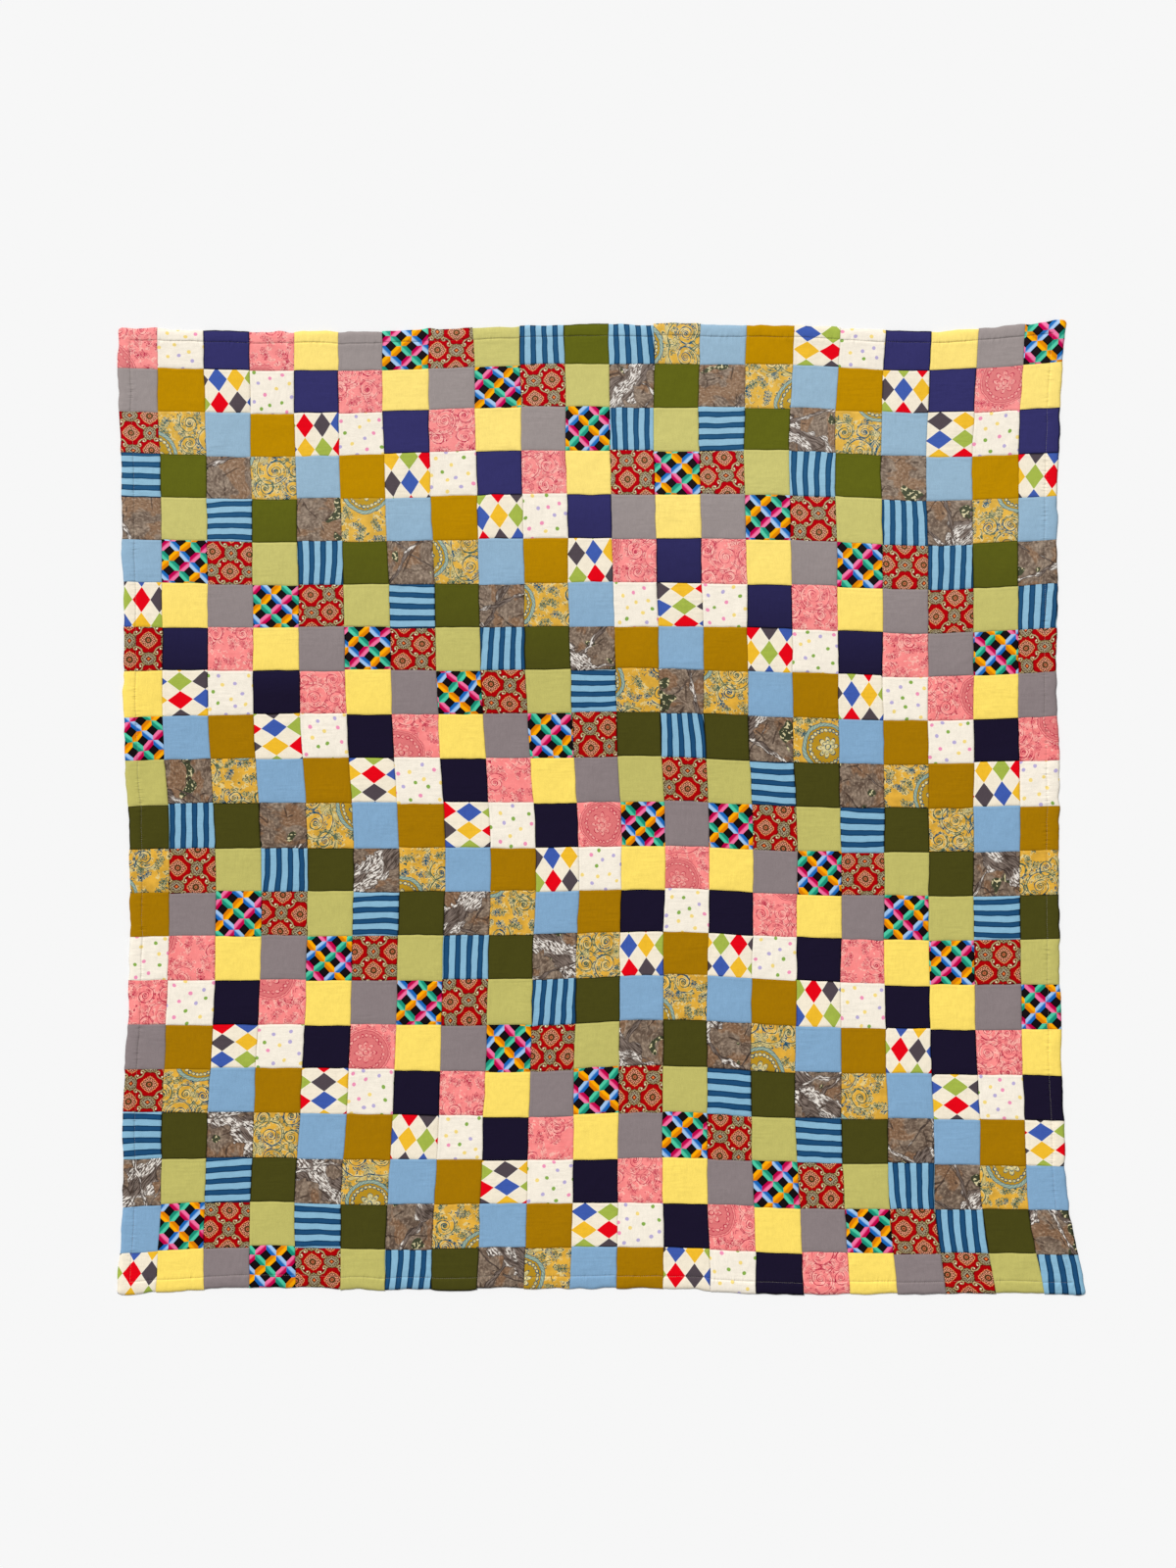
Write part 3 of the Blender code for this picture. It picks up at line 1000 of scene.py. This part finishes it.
class Engraving:
    """Line work for a scroll print, gathered as a distance from lines and a mask of fills."""

    def __init__(self, nodes):
        self.nodes = nodes
        self.ink = None            # distance from the nearest line
        self.fill = None           # 1 inside leaves and petals

    def add(self, *lines, fill=None):
        """Add lines, each as the distance from it, and a mask of what they enclose."""
        for line in lines:
            self.ink = line if self.ink is None else self.nodes.least(self.ink, line)
        if fill is not None:
            self.fill = fill if self.fill is None else self.nodes.most(self.fill, fill)

    def volute(self, x, y, size, hand, turn, lobes):
        """A spiral that winds in to an eye, with a lobed leaf along its outer turn."""
        nodes, growth = self.nodes, 0.80
        radius, angle = nodes.length(x, y), nodes.angle(x, y)
        turns = (angle * (hand / (2 * math.pi)) + turn).fraction()
        winding = (radius / size).log() / growth - turns
        arm = winding.centred()
        left_out = nodes.most(winding - arm > 0.5, radius < size * 0.1)
        # The leaf: lobes that stand on the outer turn and shrink towards its end.
        lobe = abs((angle * (lobes / 2) + winding * 9.0).sine()) ** 0.6
        lobe = lobe * turns.fit(0.0, 0.9, 0.1, 0.34)
        on_turn = (winding > 0.0) * (winding < 0.42)
        self.add(
            abs(arm) * (radius * growth) + left_out * FAR,
            abs(winding - lobe) * (radius * growth) + (1.0 - on_turn) * FAR,
            fill=on_turn * (winding < lobe),
        )

    def palmette(self, x, y, size, petals, low=-0.35):
        """A fan of petals that opens upwards from a point."""
        nodes = self.nodes
        radius, angle = nodes.length(x, y), nodes.angle(y, x)
        wave = abs((angle * (petals / 2)).cosine())
        tip = (wave ** 0.55 * 0.62 + 0.38) * size * abs(angle).fit(0.3, 2.6, 1.0, 0.62)
        rib = abs((angle / (2 * math.pi / petals)).centred()) * radius * 0.8
        on_rib = (radius < tip * 0.8) * (radius > size * 0.22)
        self.add(
            abs(radius - tip) + (y < low * size) * FAR,
            rib + 0.3 + (1.0 - on_rib) * FAR,
            fill=(radius < tip) * (y > low * size),
        )

    def sprays(self, x, y, cell, clear, shift):
        """Loose sprays of fine curved strokes that thin out to nothing at their ends."""
        nodes = self.nodes
        field = nodes.noise(x, y, cell, detail=1.0, shift=shift)
        strokes = abs((field * 5.0).centred()) * (cell * 0.24)
        ends = nodes.noise(x, y, cell * 0.62, detail=1.0, shift=shift + 5.2)
        crowd = nodes.noise(x, y, cell * 2.1, detail=0.0, shift=shift + 9.4)
        room = crowd.fit(0.36, 0.48, 3.0, 0.0) + clear.fit(1.0, 3.0, 4.0, 0.0)
        self.add(strokes + ends.fit(0.42, 0.6, 2.4, 0.0) + (room + 0.35))

    def sprigs(self, x, y, cell, clear):
        """Leafy sprigs with a flower at the tip, strewn where there is room."""
        nodes = self.nodes
        strewn = nodes.cells(x, y, cell, random_place=0.6)
        at_x, at_y, _ = nodes.parts(strewn["Position"])
        lean, swing, _ = nodes.parts(strewn["Color"])
        off_x, off_y = x - at_x * cell, y - at_y * cell
        turn = lean * (2 * math.pi)
        sine, cosine = turn.sine(), turn.cosine()
        along = off_x * cosine + off_y * sine
        bend = along * along * swing.fit(0.0, 1.0, -0.022, 0.022)
        aside = off_y * cosine - off_x * sine - bend
        out = abs(aside)
        stem = out + along.fit(8.0, 10.0, 0.0, 9.0) + along.fit(-19.0, -16.0, 9.0, 0.0)
        # Leaves in pairs, swept towards the flower.
        step = abs(((along - out * 0.8) / 7.4).centred() * 7.4)
        plump = ((out - 4.6) * 0.34).cosine() * 2.1
        beyond = (out > 8.8) + ((along > 11.0) + (along < -12.0))
        leaf = abs(step - plump) + beyond * 9.0
        past = along - 13.5
        from_middle = nodes.length(past, aside)
        rim = abs((nodes.angle(past, aside) * 2.5).cosine()) ** 0.6 * 3.4 + 2.6
        flower = nodes.least(abs(from_middle - rim), abs(from_middle - 1.5))
        covered = (clear < 3.5) * FAR
        inside = nodes.most((step < plump) * (beyond < 0.5), from_middle < rim)
        self.add(nodes.least(stem, leaf, flower) + covered, fill=inside * (covered < 1.0))


def scroll_print(palette, shift):
    """An engraved print: ringed medallions, with mirrored scrolls and palmettes between."""
    def build(nodes, u, v):
        wide, tall, disc, wreath = 204.0, 232.0, 50.0, 38.0
        sway_x = nodes.sway(u, v, 9.0, 45, shift=shift)
        sway_y = nodes.sway(u, v, 9.0, 45, shift=shift + 5.1)
        across = (u + sway_x + shift * 60.0) / wide
        half_drop = across.floor().odd() * 0.5
        x = (across.fraction() - 0.5) * wide
        y = ((v + sway_y) / tall + half_drop).centred() * tall
        radius, angle = nodes.length(x, y), nodes.angle(x, y)
        aside = abs(x)
        up = y - y.sign() * (tall / 2)

        work = Engraving(nodes)
        work.volute(aside - 27.0, up - 13.0, 20.0, 1.0, 0.62, 14)
        work.volute(aside - 21.0, up + 33.0, 12.5, -1.0, 0.30, 12)
        work.palmette(aside, up - 36.0, 19.0, 9)
        work.palmette(aside, -up - 31.0, 12.0, 7)
        work.volute(aside - 68.0, abs(up) - 31.0, 11.5, -1.0, 0.1, 12)
        work.palmette(aside - 60.0, abs(up) - 58.0, 10.0, 7, -0.9)
        vase = 4.0 + (up * 0.27).cosine() * 2.6
        work.add(abs(aside - vase) + abs(up).fit(26.0, 28.0, 0.0, 9.0))
        work.sprigs(u, v, 36.0, nodes.least(work.ink, radius - disc))
        work.sprays(u, v, 19.0, nodes.least(work.ink, radius - disc), shift)

        # The lines swell and thin, with a light on one side in places.
        swell = nodes.noise(u, v, 11.0, shift=shift).fit(0.35, 0.66, *palette["line"])
        deep = nodes.noise(u, v, 38.0, detail=1.0, shift=shift + 3.3).fit(0.5, 0.6)
        lit = nodes.noise(u, v, 14.0, shift=shift + 1.3).fit(0.46, 0.56)
        lit = abs(work.ink - (swell + 1.0)).below(0.9, 0.8) * lit
        wash = nodes.noise(u, v, 30.0, shift=shift + 4.4).fit(0.35, 0.65)
        scrolls = nodes.paint(
            palette["ground"],
            (wash, palette["wash"]),
            (work.fill * 0.75, palette["leaf"]),
            (lit * 0.8, palette["light"]),
            ((work.ink - swell).below(0.0, 0.8), nodes.mix(deep, palette["ink"], palette["strong"])),
        )
        # Inside the disc: a rosette in a wreath.
        rosette = 9.0 + abs((angle * 4.0).cosine()) ** 0.6 * 15.0
        in_wreath = abs((angle * 13.0).sine()) * 3.6
        off_wreath = abs(radius - wreath)
        bloom = nodes.most(radius < rosette, off_wreath < in_wreath)
        lines = nodes.least(
            abs(radius - rosette), abs(off_wreath - in_wreath), abs(radius - 6.0),
            abs(radius - rosette * 0.66) + 0.2,
        )
        shading = nodes.noise(x, y, 9.0).fit(0.42, 0.58)
        inner = nodes.paint(
            palette["disc"],
            (bloom * palette["bloom"], nodes.mix(shading, palette["leaf"], palette["light"])),
            ((lines - swell).below(0.0, 0.6), palette["strong"]),
        )
        ring, ring_width = abs(radius - disc), palette["ring_width"]
        ticks = (angle * 32.0 + (radius - disc) * 1.1).cosine().fit(0.35, 0.95, 0.0, 0.55)
        return nodes.paint(
            scrolls,
            (radius.below(disc, 0.5), inner),
            (ring.below(ring_width + 1.0, 0.6), palette["strong"]),
            (ring.below(ring_width, 0.6), nodes.mix(ticks, palette["ring"], palette["ink"])),
        )
    return build


PINK_SCROLL = {
    "ground": rgb(254, 154, 151), "wash": rgb(249, 144, 142), "disc": rgb(226, 128, 128),
    "ink": rgb(206, 92, 106), "strong": rgb(190, 48, 80), "light": rgb(255, 200, 186),
    "leaf": rgb(244, 146, 142), "ring": rgb(246, 156, 150), "ring_width": 1.6,
    "bloom": 0.55, "line": (0.35, 1.15),
}
OCHRE_SCROLL = {
    "ground": rgb(234, 186, 78), "wash": rgb(214, 170, 70), "disc": rgb(190, 152, 44),
    "ink": rgb(84, 108, 94), "strong": rgb(26, 90, 120), "light": rgb(232, 216, 162),
    "leaf": rgb(206, 196, 138), "ring": rgb(164, 184, 170), "ring_width": 3.2,
    "bloom": 1.0, "line": (0.50, 1.35),
}

# The limbs of the woodland print. Bark is pale where a noise is above pale_from.
LIMBS = (
    {"lean": 0.95, "pitch": 124.0, "half": 2.0, "roam": 16.0, "shift": 11.0, "pale_from": 0.72},
    {"lean": -0.60, "pitch": 214.0, "half": 6.0, "roam": 20.0, "shift": 5.0, "pale_from": 0.56},
    {"lean": 0.85, "pitch": 214.0, "half": 34.0, "roam": 24.0, "shift": 3.0, "pale_from": 0.43},
    {"lean": 1.85, "pitch": 290.0, "half": 6.0, "roam": 20.0, "shift": 8.0, "pale_from": 0.46},
)


def bark(nodes, u, v):
    """A woodland print: limbs with pale bark and dark twigs over leaf litter."""
    x = u + nodes.sway(u, v, 24.0, 66, detail=1.0)
    y = v + nodes.sway(u, v, 24.0, 66, detail=1.0, shift=4.7)

    # The litter: mottled taupe, rusty drifts and a few green clumps.
    soft = nodes.noise(u, v, 26, detail=4.0, rough=0.6, shift=1.9)
    speckle = nodes.noise(x, y, 7.0, 5.0, rough=0.55, shift=7.9)
    rust = nodes.noise(x, y * 1.5, 74, detail=3.0, shift=8.8)
    green = nodes.noise(x, y, 60, detail=1.0, shift=13.1).fit(0.685, 0.695)
    leaf = nodes.noise(u, v, 9.0, 6.0, detail=1.0, shift=2.2).fit(0.6, 0.63)
    colour = nodes.paint(
        rgb(112, 95, 83),
        (soft.fit(0.34, 0.66), rgb(156, 139, 123)),
        (rust.fit(0.52, 0.58, 0.0, 0.75), rgb(150, 116, 88)),
        (speckle.fit(0.56, 0.68, 0.0, 0.5), rgb(192, 172, 152)),
        (speckle.fit(0.46, 0.34, 0.0, 0.45), rgb(88, 72, 60)),
        (green, rgb(78, 82, 62)),
        (green * leaf, rgb(218, 208, 168)),
    )

    def limb(lean, pitch, half, roam, shift, pale_from):
        """A mask of limbs that lean one way, and their look: dark edges, grain, pale flakes."""
        sine, cosine = math.sin(lean), math.cos(lean)
        along = x * cosine + y * sine
        across = y * cosine - x * sine + shift * 31.0
        count = (across / pitch).floor()
        local = ((across / pitch).fraction() - 0.5) * pitch
        run = along + count * 57.0
        wander = nodes.sway(run, 0.0, roam, 60, shift=shift)
        thick = nodes.noise(run, 0.0, 38, shift=shift + 2.0).fit(0.3, 0.7, 0.4, 1.3) * half
        ragged = nodes.noise(along, across, 26, 6.0, shift=shift).fit(0.3, 0.7, -1.4, 1.4)
        inside = thick - abs(local - wander) + ragged
        grain = nodes.noise(along, across, 22, 3.0, detail=3.0, rough=0.6, shift=shift)
        pale = nodes.noise(along, across, 58, 26, detail=0.0, shift=shift + 6.0)
        flakes = nodes.noise(along, across, 11.0, 3.0, detail=4.0, rough=0.62, shift=shift + 3.0)
        wood = nodes.paint(
            rgb(76, 64, 58),
            (grain.fit(0.36, 0.64), rgb(146, 132, 123)),
            (pale.fit(pale_from, pale_from + 0.08) * flakes.fit(0.485, 0.535), rgb(238, 232, 224)),
        )
        return inside.fit(0.0, 1.0), nodes.mix(inside.fit(0.6, 2.8), rgb(70, 57, 52), wood)

    colour = nodes.paint(colour, *(limb(**sizes) for sizes in LIMBS))
    web = 58.0
    twigs = nodes.cells(x + y * 0.3, y * 0.6, web, feature="DISTANCE_TO_EDGE")["Distance"] * web
    thick = nodes.noise(x, y, 30, shift=6.1).fit(0.46, 0.62, -0.5, 1.6)
    return nodes.mix((twigs - thick).below(0.0, 0.7) * 0.8, colour, rgb(78, 64, 56))


# Each cotton's colours with painted light, lighter and hazier towards row 1 and deeper further down:
# two colours, or a print and the power by which its lower colours are deeper.
COTTONS = {
    "dots": {"print": dots, "deepen": 1.0},
    "navy": {"lit_top": rgb(53, 51, 104), "deep_low": rgb(26, 20, 43)},
    "pink_scroll": {"print": scroll_print(PINK_SCROLL, 1.0), "deepen": 1.11},
    "yellow": {"lit_top": rgb(255, 228, 126), "deep_low": rgb(254, 224, 106)},
    "grey": {"lit_top": rgb(156, 146, 144), "deep_low": rgb(138, 126, 127)},
    "ribbon": {"print": ribbon, "deepen": 1.12},
    "foulard": {"print": foulard, "deepen": 1.20},
    "lime": {"lit_top": rgb(204, 197, 118), "deep_low": rgb(193, 186, 105)},
    "stripe": {"print": stripes, "deepen": 1.12},
    "olive": {"lit_top": rgb(97, 100, 24), "deep_low": rgb(72, 70, 23)},
    "bark": {"print": bark, "deepen": 1.16},
    "ochre_scroll": {"print": scroll_print(OCHRE_SCROLL, 2.0), "deepen": 1.15},
    "blue": {"lit_top": rgb(151, 182, 204), "deep_low": rgb(130, 168, 201)},
    "mustard": {"lit_top": rgb(188, 138, 0), "deep_low": rgb(165, 118, 2)},
    "harlequin": {"print": harlequin, "deepen": 1.03},
}
LIT_FROM_Y = 0.72         # painted light: above this the colours are at their lightest, and below the next value at their deepest
DEEP_TO_Y = 0.25

# ---------------------------------------------------------------- the weave and its relief

WEAVE_PITCH_MM = 0.85      # from thread to thread
SLUB_TONE = 0.045          # how much lighter or darker thick threads are
MOTTLE_TONE = 0.024        # soft blots
SPECK_TONE = 0.03
WRONG_SIDE_PALER = 0.42
COTTON_SPECULAR = 0.04
COTTON_SHEEN = 0.01
THREAD_RELIEF = 0.00006    # relief in metres
SLUB_RELIEF = 0.00007
SOFT_RELIEF = 0.0006
WRINKLE_RELIEF = 0.0009
CRIMP_RELIEF = 0.0045
CRIMP_REACH_MM = 17.0      # how far the crimps run in and out from the hem's stitches


def finish_group():
    """The node group that turns a print's colour into woven, sewn cotton, with painted shade in the
    seams.
    """
    tree = bpy.data.node_groups.new("woven_cotton", "ShaderNodeTree")
    tree.interface.new_socket("Colour", in_out="INPUT", socket_type="NodeSocketColor")
    for name, kind in (("Base Color", "Color"), ("Roughness", "Float"), ("Normal", "Vector")):
        tree.interface.new_socket(name, in_out="OUTPUT", socket_type=f"NodeSocket{kind}")
    nodes = Nodes(tree)
    given = nodes.value("NodeGroupInput")
    u, v = in_mm(*nodes.uv("Cloth"))

    # Threads: over and under in turn, with thicker slubs here and there.
    turn = 2 * math.pi / WEAVE_PITCH_MM
    threads = (u * turn).sine() * (v * turn).sine() * 0.5 + 0.5
    slubs = nodes.noise(u, v, 1.2, 19.0) * 0.78 + nodes.noise(u, v, 19.0, 1.2, shift=5.0) * 0.22
    mottle = nodes.noise(u, v, 12.0, detail=3.0, shift=2.0)
    specks = nodes.noise(u, v, 2.1, detail=1.0, shift=3.0)
    tone = slubs.fit(0.3, 0.7, 1 - SLUB_TONE, 1 + SLUB_TONE)
    tone = tone + mottle.fit(0.3, 0.7, -MOTTLE_TONE, MOTTLE_TONE)
    tone = tone + specks.fit(0.3, 0.7, -SPECK_TONE, SPECK_TONE)
    tone = tone * threads.fit(0.0, 1.0, 0.95, 1.03)

    # Painted shade: the colour is darkened in the stitched valley of each seam, most of all on dark
    # cloth.
    part_x, part_y = nodes.uv("Square")
    wrong = part_y > WRONG_SIDE - 0.5
    part_y = part_y - wrong * WRONG_SIDE
    near_x, near_y = nodes.least(part_x, 1.0 - part_x), nodes.least(part_y, 1.0 - part_y)
    percent = nodes.least(near_x, near_y) * 100.0
    painted_valley_shade = nodes.value("ShaderNodeRGBToBW", {0: given}).fit(0.01, 0.22, 0.12, 0.9)
    tone = tone * percent.fit(0.8, 3.4, painted_valley_shade, 1.0)
    toned = nodes.mix(1.0, given, nodes.vector(tone, tone, tone), "MULTIPLY")
    colour = nodes.mix(wrong * WRONG_SIDE_PALER, toned, rgb(214, 208, 198))

    # Drawn wrinkles in some places, along the squares' sides.
    x, y = in_mm(*nodes.place()[:2])
    level = nodes.noise(x, y, 50.0, 9.0, detail=1.0)
    level = level * nodes.noise(x, y, 70.0, detail=0.0, shift=4.0).fit(0.5, 0.7)
    upright = nodes.noise(x, y, 9.0, 50.0, detail=1.0, shift=2.0)
    upright = upright * nodes.noise(x, y, 70.0, detail=0.0, shift=8.0).fit(0.54, 0.74)

    # The hem's crimps run in and out across its stitches.
    from_side, from_end = in_mm(*nodes.uv("Hem"))
    off_line = abs(nodes.least(from_side, from_end) - HEM_INSET / MM)
    crimps = nodes.mix(
        from_side < from_end,
        nodes.noise(x, y + x * 0.3, 7.5, 34.0, detail=1.5),
        nodes.noise(x + y * 0.3, y, 34.0, 7.5, detail=1.5),
    )
    tight = nodes.noise(x, y, 48.0, detail=0.0, shift=6.0).fit(0.38, 0.62, 0.25, 1.0)
    crimps = (crimps - 0.5) * (tight * off_line.fit(0.0, CRIMP_REACH_MM, 1.0, 0.0) ** 1.6)

    height = threads * THREAD_RELIEF + slubs * SLUB_RELIEF
    height = height + nodes.noise(u, v, 20.0, detail=3.0, shift=9.0) * SOFT_RELIEF
    height = height + (level + upright) * WRINKLE_RELIEF + crimps * CRIMP_RELIEF
    bump = nodes.value("ShaderNodeBump", {"Strength": 0.8, "Distance": 1.0, "Height": height})
    nodes.add("NodeGroupOutput", {0: colour, 1: mottle.fit(0.3, 0.7, 0.84, 0.95), 2: bump})
    return tree


def new_material(name):
    """A material, its Principled shader, and the Nodes that build its tree."""
    material = bpy.data.materials.new(name)
    material.use_nodes = True
    tree = material.node_tree
    return material, tree.nodes["Principled BSDF"], Nodes(tree)


def make_cotton(name, recipe, finish):
    """One cotton's material: its print or dye, then the weave."""
    material, shader, nodes = new_material(name)
    if "print" in recipe:
        lit_top = recipe["print"](nodes, *in_mm(*nodes.uv("Cloth")))
        deep_low = nodes.value("ShaderNodeGamma", {0: lit_top, 1: recipe["deepen"]})
    else:
        lit_top, deep_low = recipe["lit_top"], recipe["deep_low"]
    # Painted light: the colours are lighter and hazier towards row 1, and deeper further down.
    colour = nodes.mix(nodes.place()[1].fit(DEEP_TO_Y, LIT_FROM_Y), deep_low, lit_top)
    woven = nodes.add("ShaderNodeGroup", node_tree=finish)
    nodes.feed(woven, {0: colour})
    nodes.feed(shader, {socket.name: Value(nodes, socket) for socket in woven.outputs})
    nodes.feed(shader, {"Specular IOR Level": COTTON_SPECULAR, "Sheen Weight": COTTON_SHEEN})
    return material


# ---------------------------------------------------------------- the hem's stitches

STITCH_LENGTH = 0.0030
STITCH_PITCH = 0.0043
STITCH_STRAY = 0.0003
THREAD_RADIUS = 0.00024
STITCH_SECTIONS = (        # share of the length, share of the radius, and lift in radii
    (-0.5, 0.30, -0.6),
    (-0.30, 0.95, 0.1),
    (0.0, 1.0, 0.35),
    (0.30, 0.95, 0.1),
    (0.5, 0.30, -0.6),
)
STITCH_SIDES = 5
PLY_TURN = 9000.0          # radians a metre by which the thread's ply turns
ROUTE_SAMPLES = 60         # points of the route for each square


def hem_route():
    """The hem line's points, all round the quilt, with the cloth's height there."""
    near_x, near_y = HEM_INSET / SIDE_WIDTH, HEM_INSET / END_LENGTH
    far_x, far_y = STRIPS - near_x, ROWS - near_y
    across = np.linspace(near_x, far_x, STRIPS * ROUTE_SAMPLES)
    down = np.linspace(near_y, far_y, ROWS * ROUTE_SAMPLES)
    on_strip = [across[across.astype(int) == column] for column in range(STRIPS)]

    def stretch(column, strips, rows):
        x, y = swayed(*place(column, strips, rows), strips, rows)
        z = cloth_height(strips, rows, x, y)
        return np.stack([x.ravel(), y.ravel(), z.ravel()], axis=-1)

    top = [stretch(column, on_strip[column], np.array([near_y])) for column in range(STRIPS)]
    foot = [stretch(column, on_strip[column], np.array([far_y])) for column in range(STRIPS)]
    right = stretch(STRIPS - 1, np.array([far_x]), down)
    left = stretch(0, np.array([near_x]), down)
    return np.concatenate(top + [right] + [part[::-1] for part in reversed(foot)] + [left[::-1]])


def make_stitches(material):
    """Short plump stitches in the hem's groove."""
    route = hem_route()
    steps = np.linalg.norm(np.diff(route[:, :2], axis=0), axis=1)
    run = np.concatenate([[0.0], np.cumsum(steps)])
    draw = random.Random(SEED + 7)
    points, faces = [], []
    for at in np.arange(STITCH_PITCH, run[-1] - STITCH_PITCH, STITCH_PITCH):
        at += draw.uniform(-STITCH_STRAY, STITCH_STRAY)
        half = STITCH_LENGTH * draw.uniform(0.88, 1.1) / 2
        first, last = (
            np.array([np.interp(at + way, run, route[:, axis]) for axis in range(3)])
            for way in (-half, half)
        )
        along = last - first
        flat = along / max(np.linalg.norm(along[:2]), 1e-9)
        aside = np.array([-flat[1], flat[0], 0.0])
        start = len(points)
        for share, radius, lift in STITCH_SECTIONS:
            raised = np.array([0, 0, THREAD_RADIUS * (0.5 + lift)])
            centre = (first + last) / 2 + along * share + raised
            for side in range(STITCH_SIDES):
                turn = 2 * math.pi * side / STITCH_SIDES
                off = aside * math.cos(turn) + np.array([0, 0, math.sin(turn)])
                points.append((centre + off * radius * THREAD_RADIUS).tolist())
        rings = [[start + section * STITCH_SIDES + side for side in range(STITCH_SIDES)]
                 for section in range(len(STITCH_SECTIONS))]
        for ring, after in zip(rings, rings[1:]):
            for side in range(STITCH_SIDES):
                beside = (side + 1) % STITCH_SIDES
                faces.append((ring[side], ring[beside], after[beside], after[side]))
        faces += [tuple(reversed(rings[0])), tuple(rings[-1])]
    return new_piece("hem_stitches", points, faces, [material])


def make_thread():
    """Pale sewing thread with a twisted ply."""
    material, shader, nodes = new_material("sewing_thread")
    x, y, z = nodes.place()
    ply = ((x + y + z) * PLY_TURN).sine()
    nodes.feed(shader, {
        "Base Color": nodes.mix(ply.fit(-1.0, 1.0), rgb(166, 158, 146), rgb(200, 193, 181)),
        "Roughness": ply.fit(-1.0, 1.0, 0.6, 0.75),
    })
    return material


# ---------------------------------------------------------------- floor, light and camera

PHOTO_HEIGHT = 3.526       # what the picture's full height spans at the quilt
PHOTO_OFFSET = (-0.0298, 0.0529)       # the picture's middle, from the quilt's middle
CAMERA_HEIGHT = 14.0
FLOOR_DROP = 0.0008        # how far the floor lies under the underside
FLOOR_REACH = 40.0
FLOOR_TONE = 0.925
ROOM_LIGHT = 0.46
LAMP_POWER = 2.75
LAMP_SPREAD = 12           # degrees
LAMP_TILT = (-44, -30)     # degrees about X and Y


def make_floor():
    """A plain pale floor."""
    material, shader, nodes = new_material("floor")
    nodes.feed(shader, {
        "Base Color": (*[FLOOR_TONE] * 3, 1.0), "Roughness": 1.0, "Specular IOR Level": 0.0,
    })
    corners = ((-1, -1), (1, -1), (1, 1), (-1, 1))
    points = [(x * FLOOR_REACH, y * FLOOR_REACH, -FLOOR_DROP) for x, y in corners]
    new_piece("floor", points, [(0, 1, 2, 3)], [material])


def make_light():
    """A wide soft lamp from the upper left, and an even pale room."""
    world = bpy.data.worlds.new("room")
    world.use_nodes = True
    background = world.node_tree.nodes["Background"]
    background.inputs["Color"].default_value = (1.0, 1.0, 1.0, 1.0)
    background.inputs["Strength"].default_value = ROOM_LIGHT
    bpy.context.scene.world = world
    lamp = bpy.data.lights.new("key", "SUN")
    lamp.energy = LAMP_POWER
    lamp.angle = math.radians(LAMP_SPREAD)
    add_object("key", lamp).rotation_euler = (*map(math.radians, LAMP_TILT), 0)


def make_camera():
    """A camera straight above, as in the photo."""
    data = bpy.data.cameras.new("camera")
    data.lens = data.sensor_width * (CAMERA_HEIGHT / PHOTO_HEIGHT)
    data.clip_end = 100.0
    camera = add_object("camera", data)
    camera.location = (*PHOTO_OFFSET, CAMERA_HEIGHT)
    bpy.context.scene.camera = camera


# ---------------------------------------------------------------- making it all


def points_of(piece):
    """The places of a piece's points, one line for each."""
    flat = np.empty(len(piece.data.vertices) * 3)
    piece.data.vertices.foreach_get("co", flat)
    return flat.reshape(-1, 3)


def centre(pieces):
    """Move the patchwork's middle to the middle of the model's box."""
    clouds = [points_of(piece) for piece in pieces]
    every = np.concatenate(clouds)
    shift = np.mean(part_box("quilt"), axis=0) - (every.min(axis=0) + every.max(axis=0)) / 2
    shift[2] = 0.0
    for piece, cloud in zip(pieces, clouds):
        piece.data.vertices.foreach_set("co", (cloud + shift).ravel())
        piece.data.update()


def main():
    bpy.context.scene.view_settings.view_transform = "Standard"
    make_camera()
    make_light()
    make_floor()
    finish = finish_group()
    cottons = {name: make_cotton(name, recipe, finish) for name, recipe in COTTONS.items()}
    strips = [StripMesh(column).make(f"strip_{column + 1:02d}", cottons) for column in range(STRIPS)]
    stitches = make_stitches(make_thread())
    centre(strips + [stitches])
    for column, strip in enumerate(strips):
        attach(strip, "root")
        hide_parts("quilt")
    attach(stitches, "root")


main()
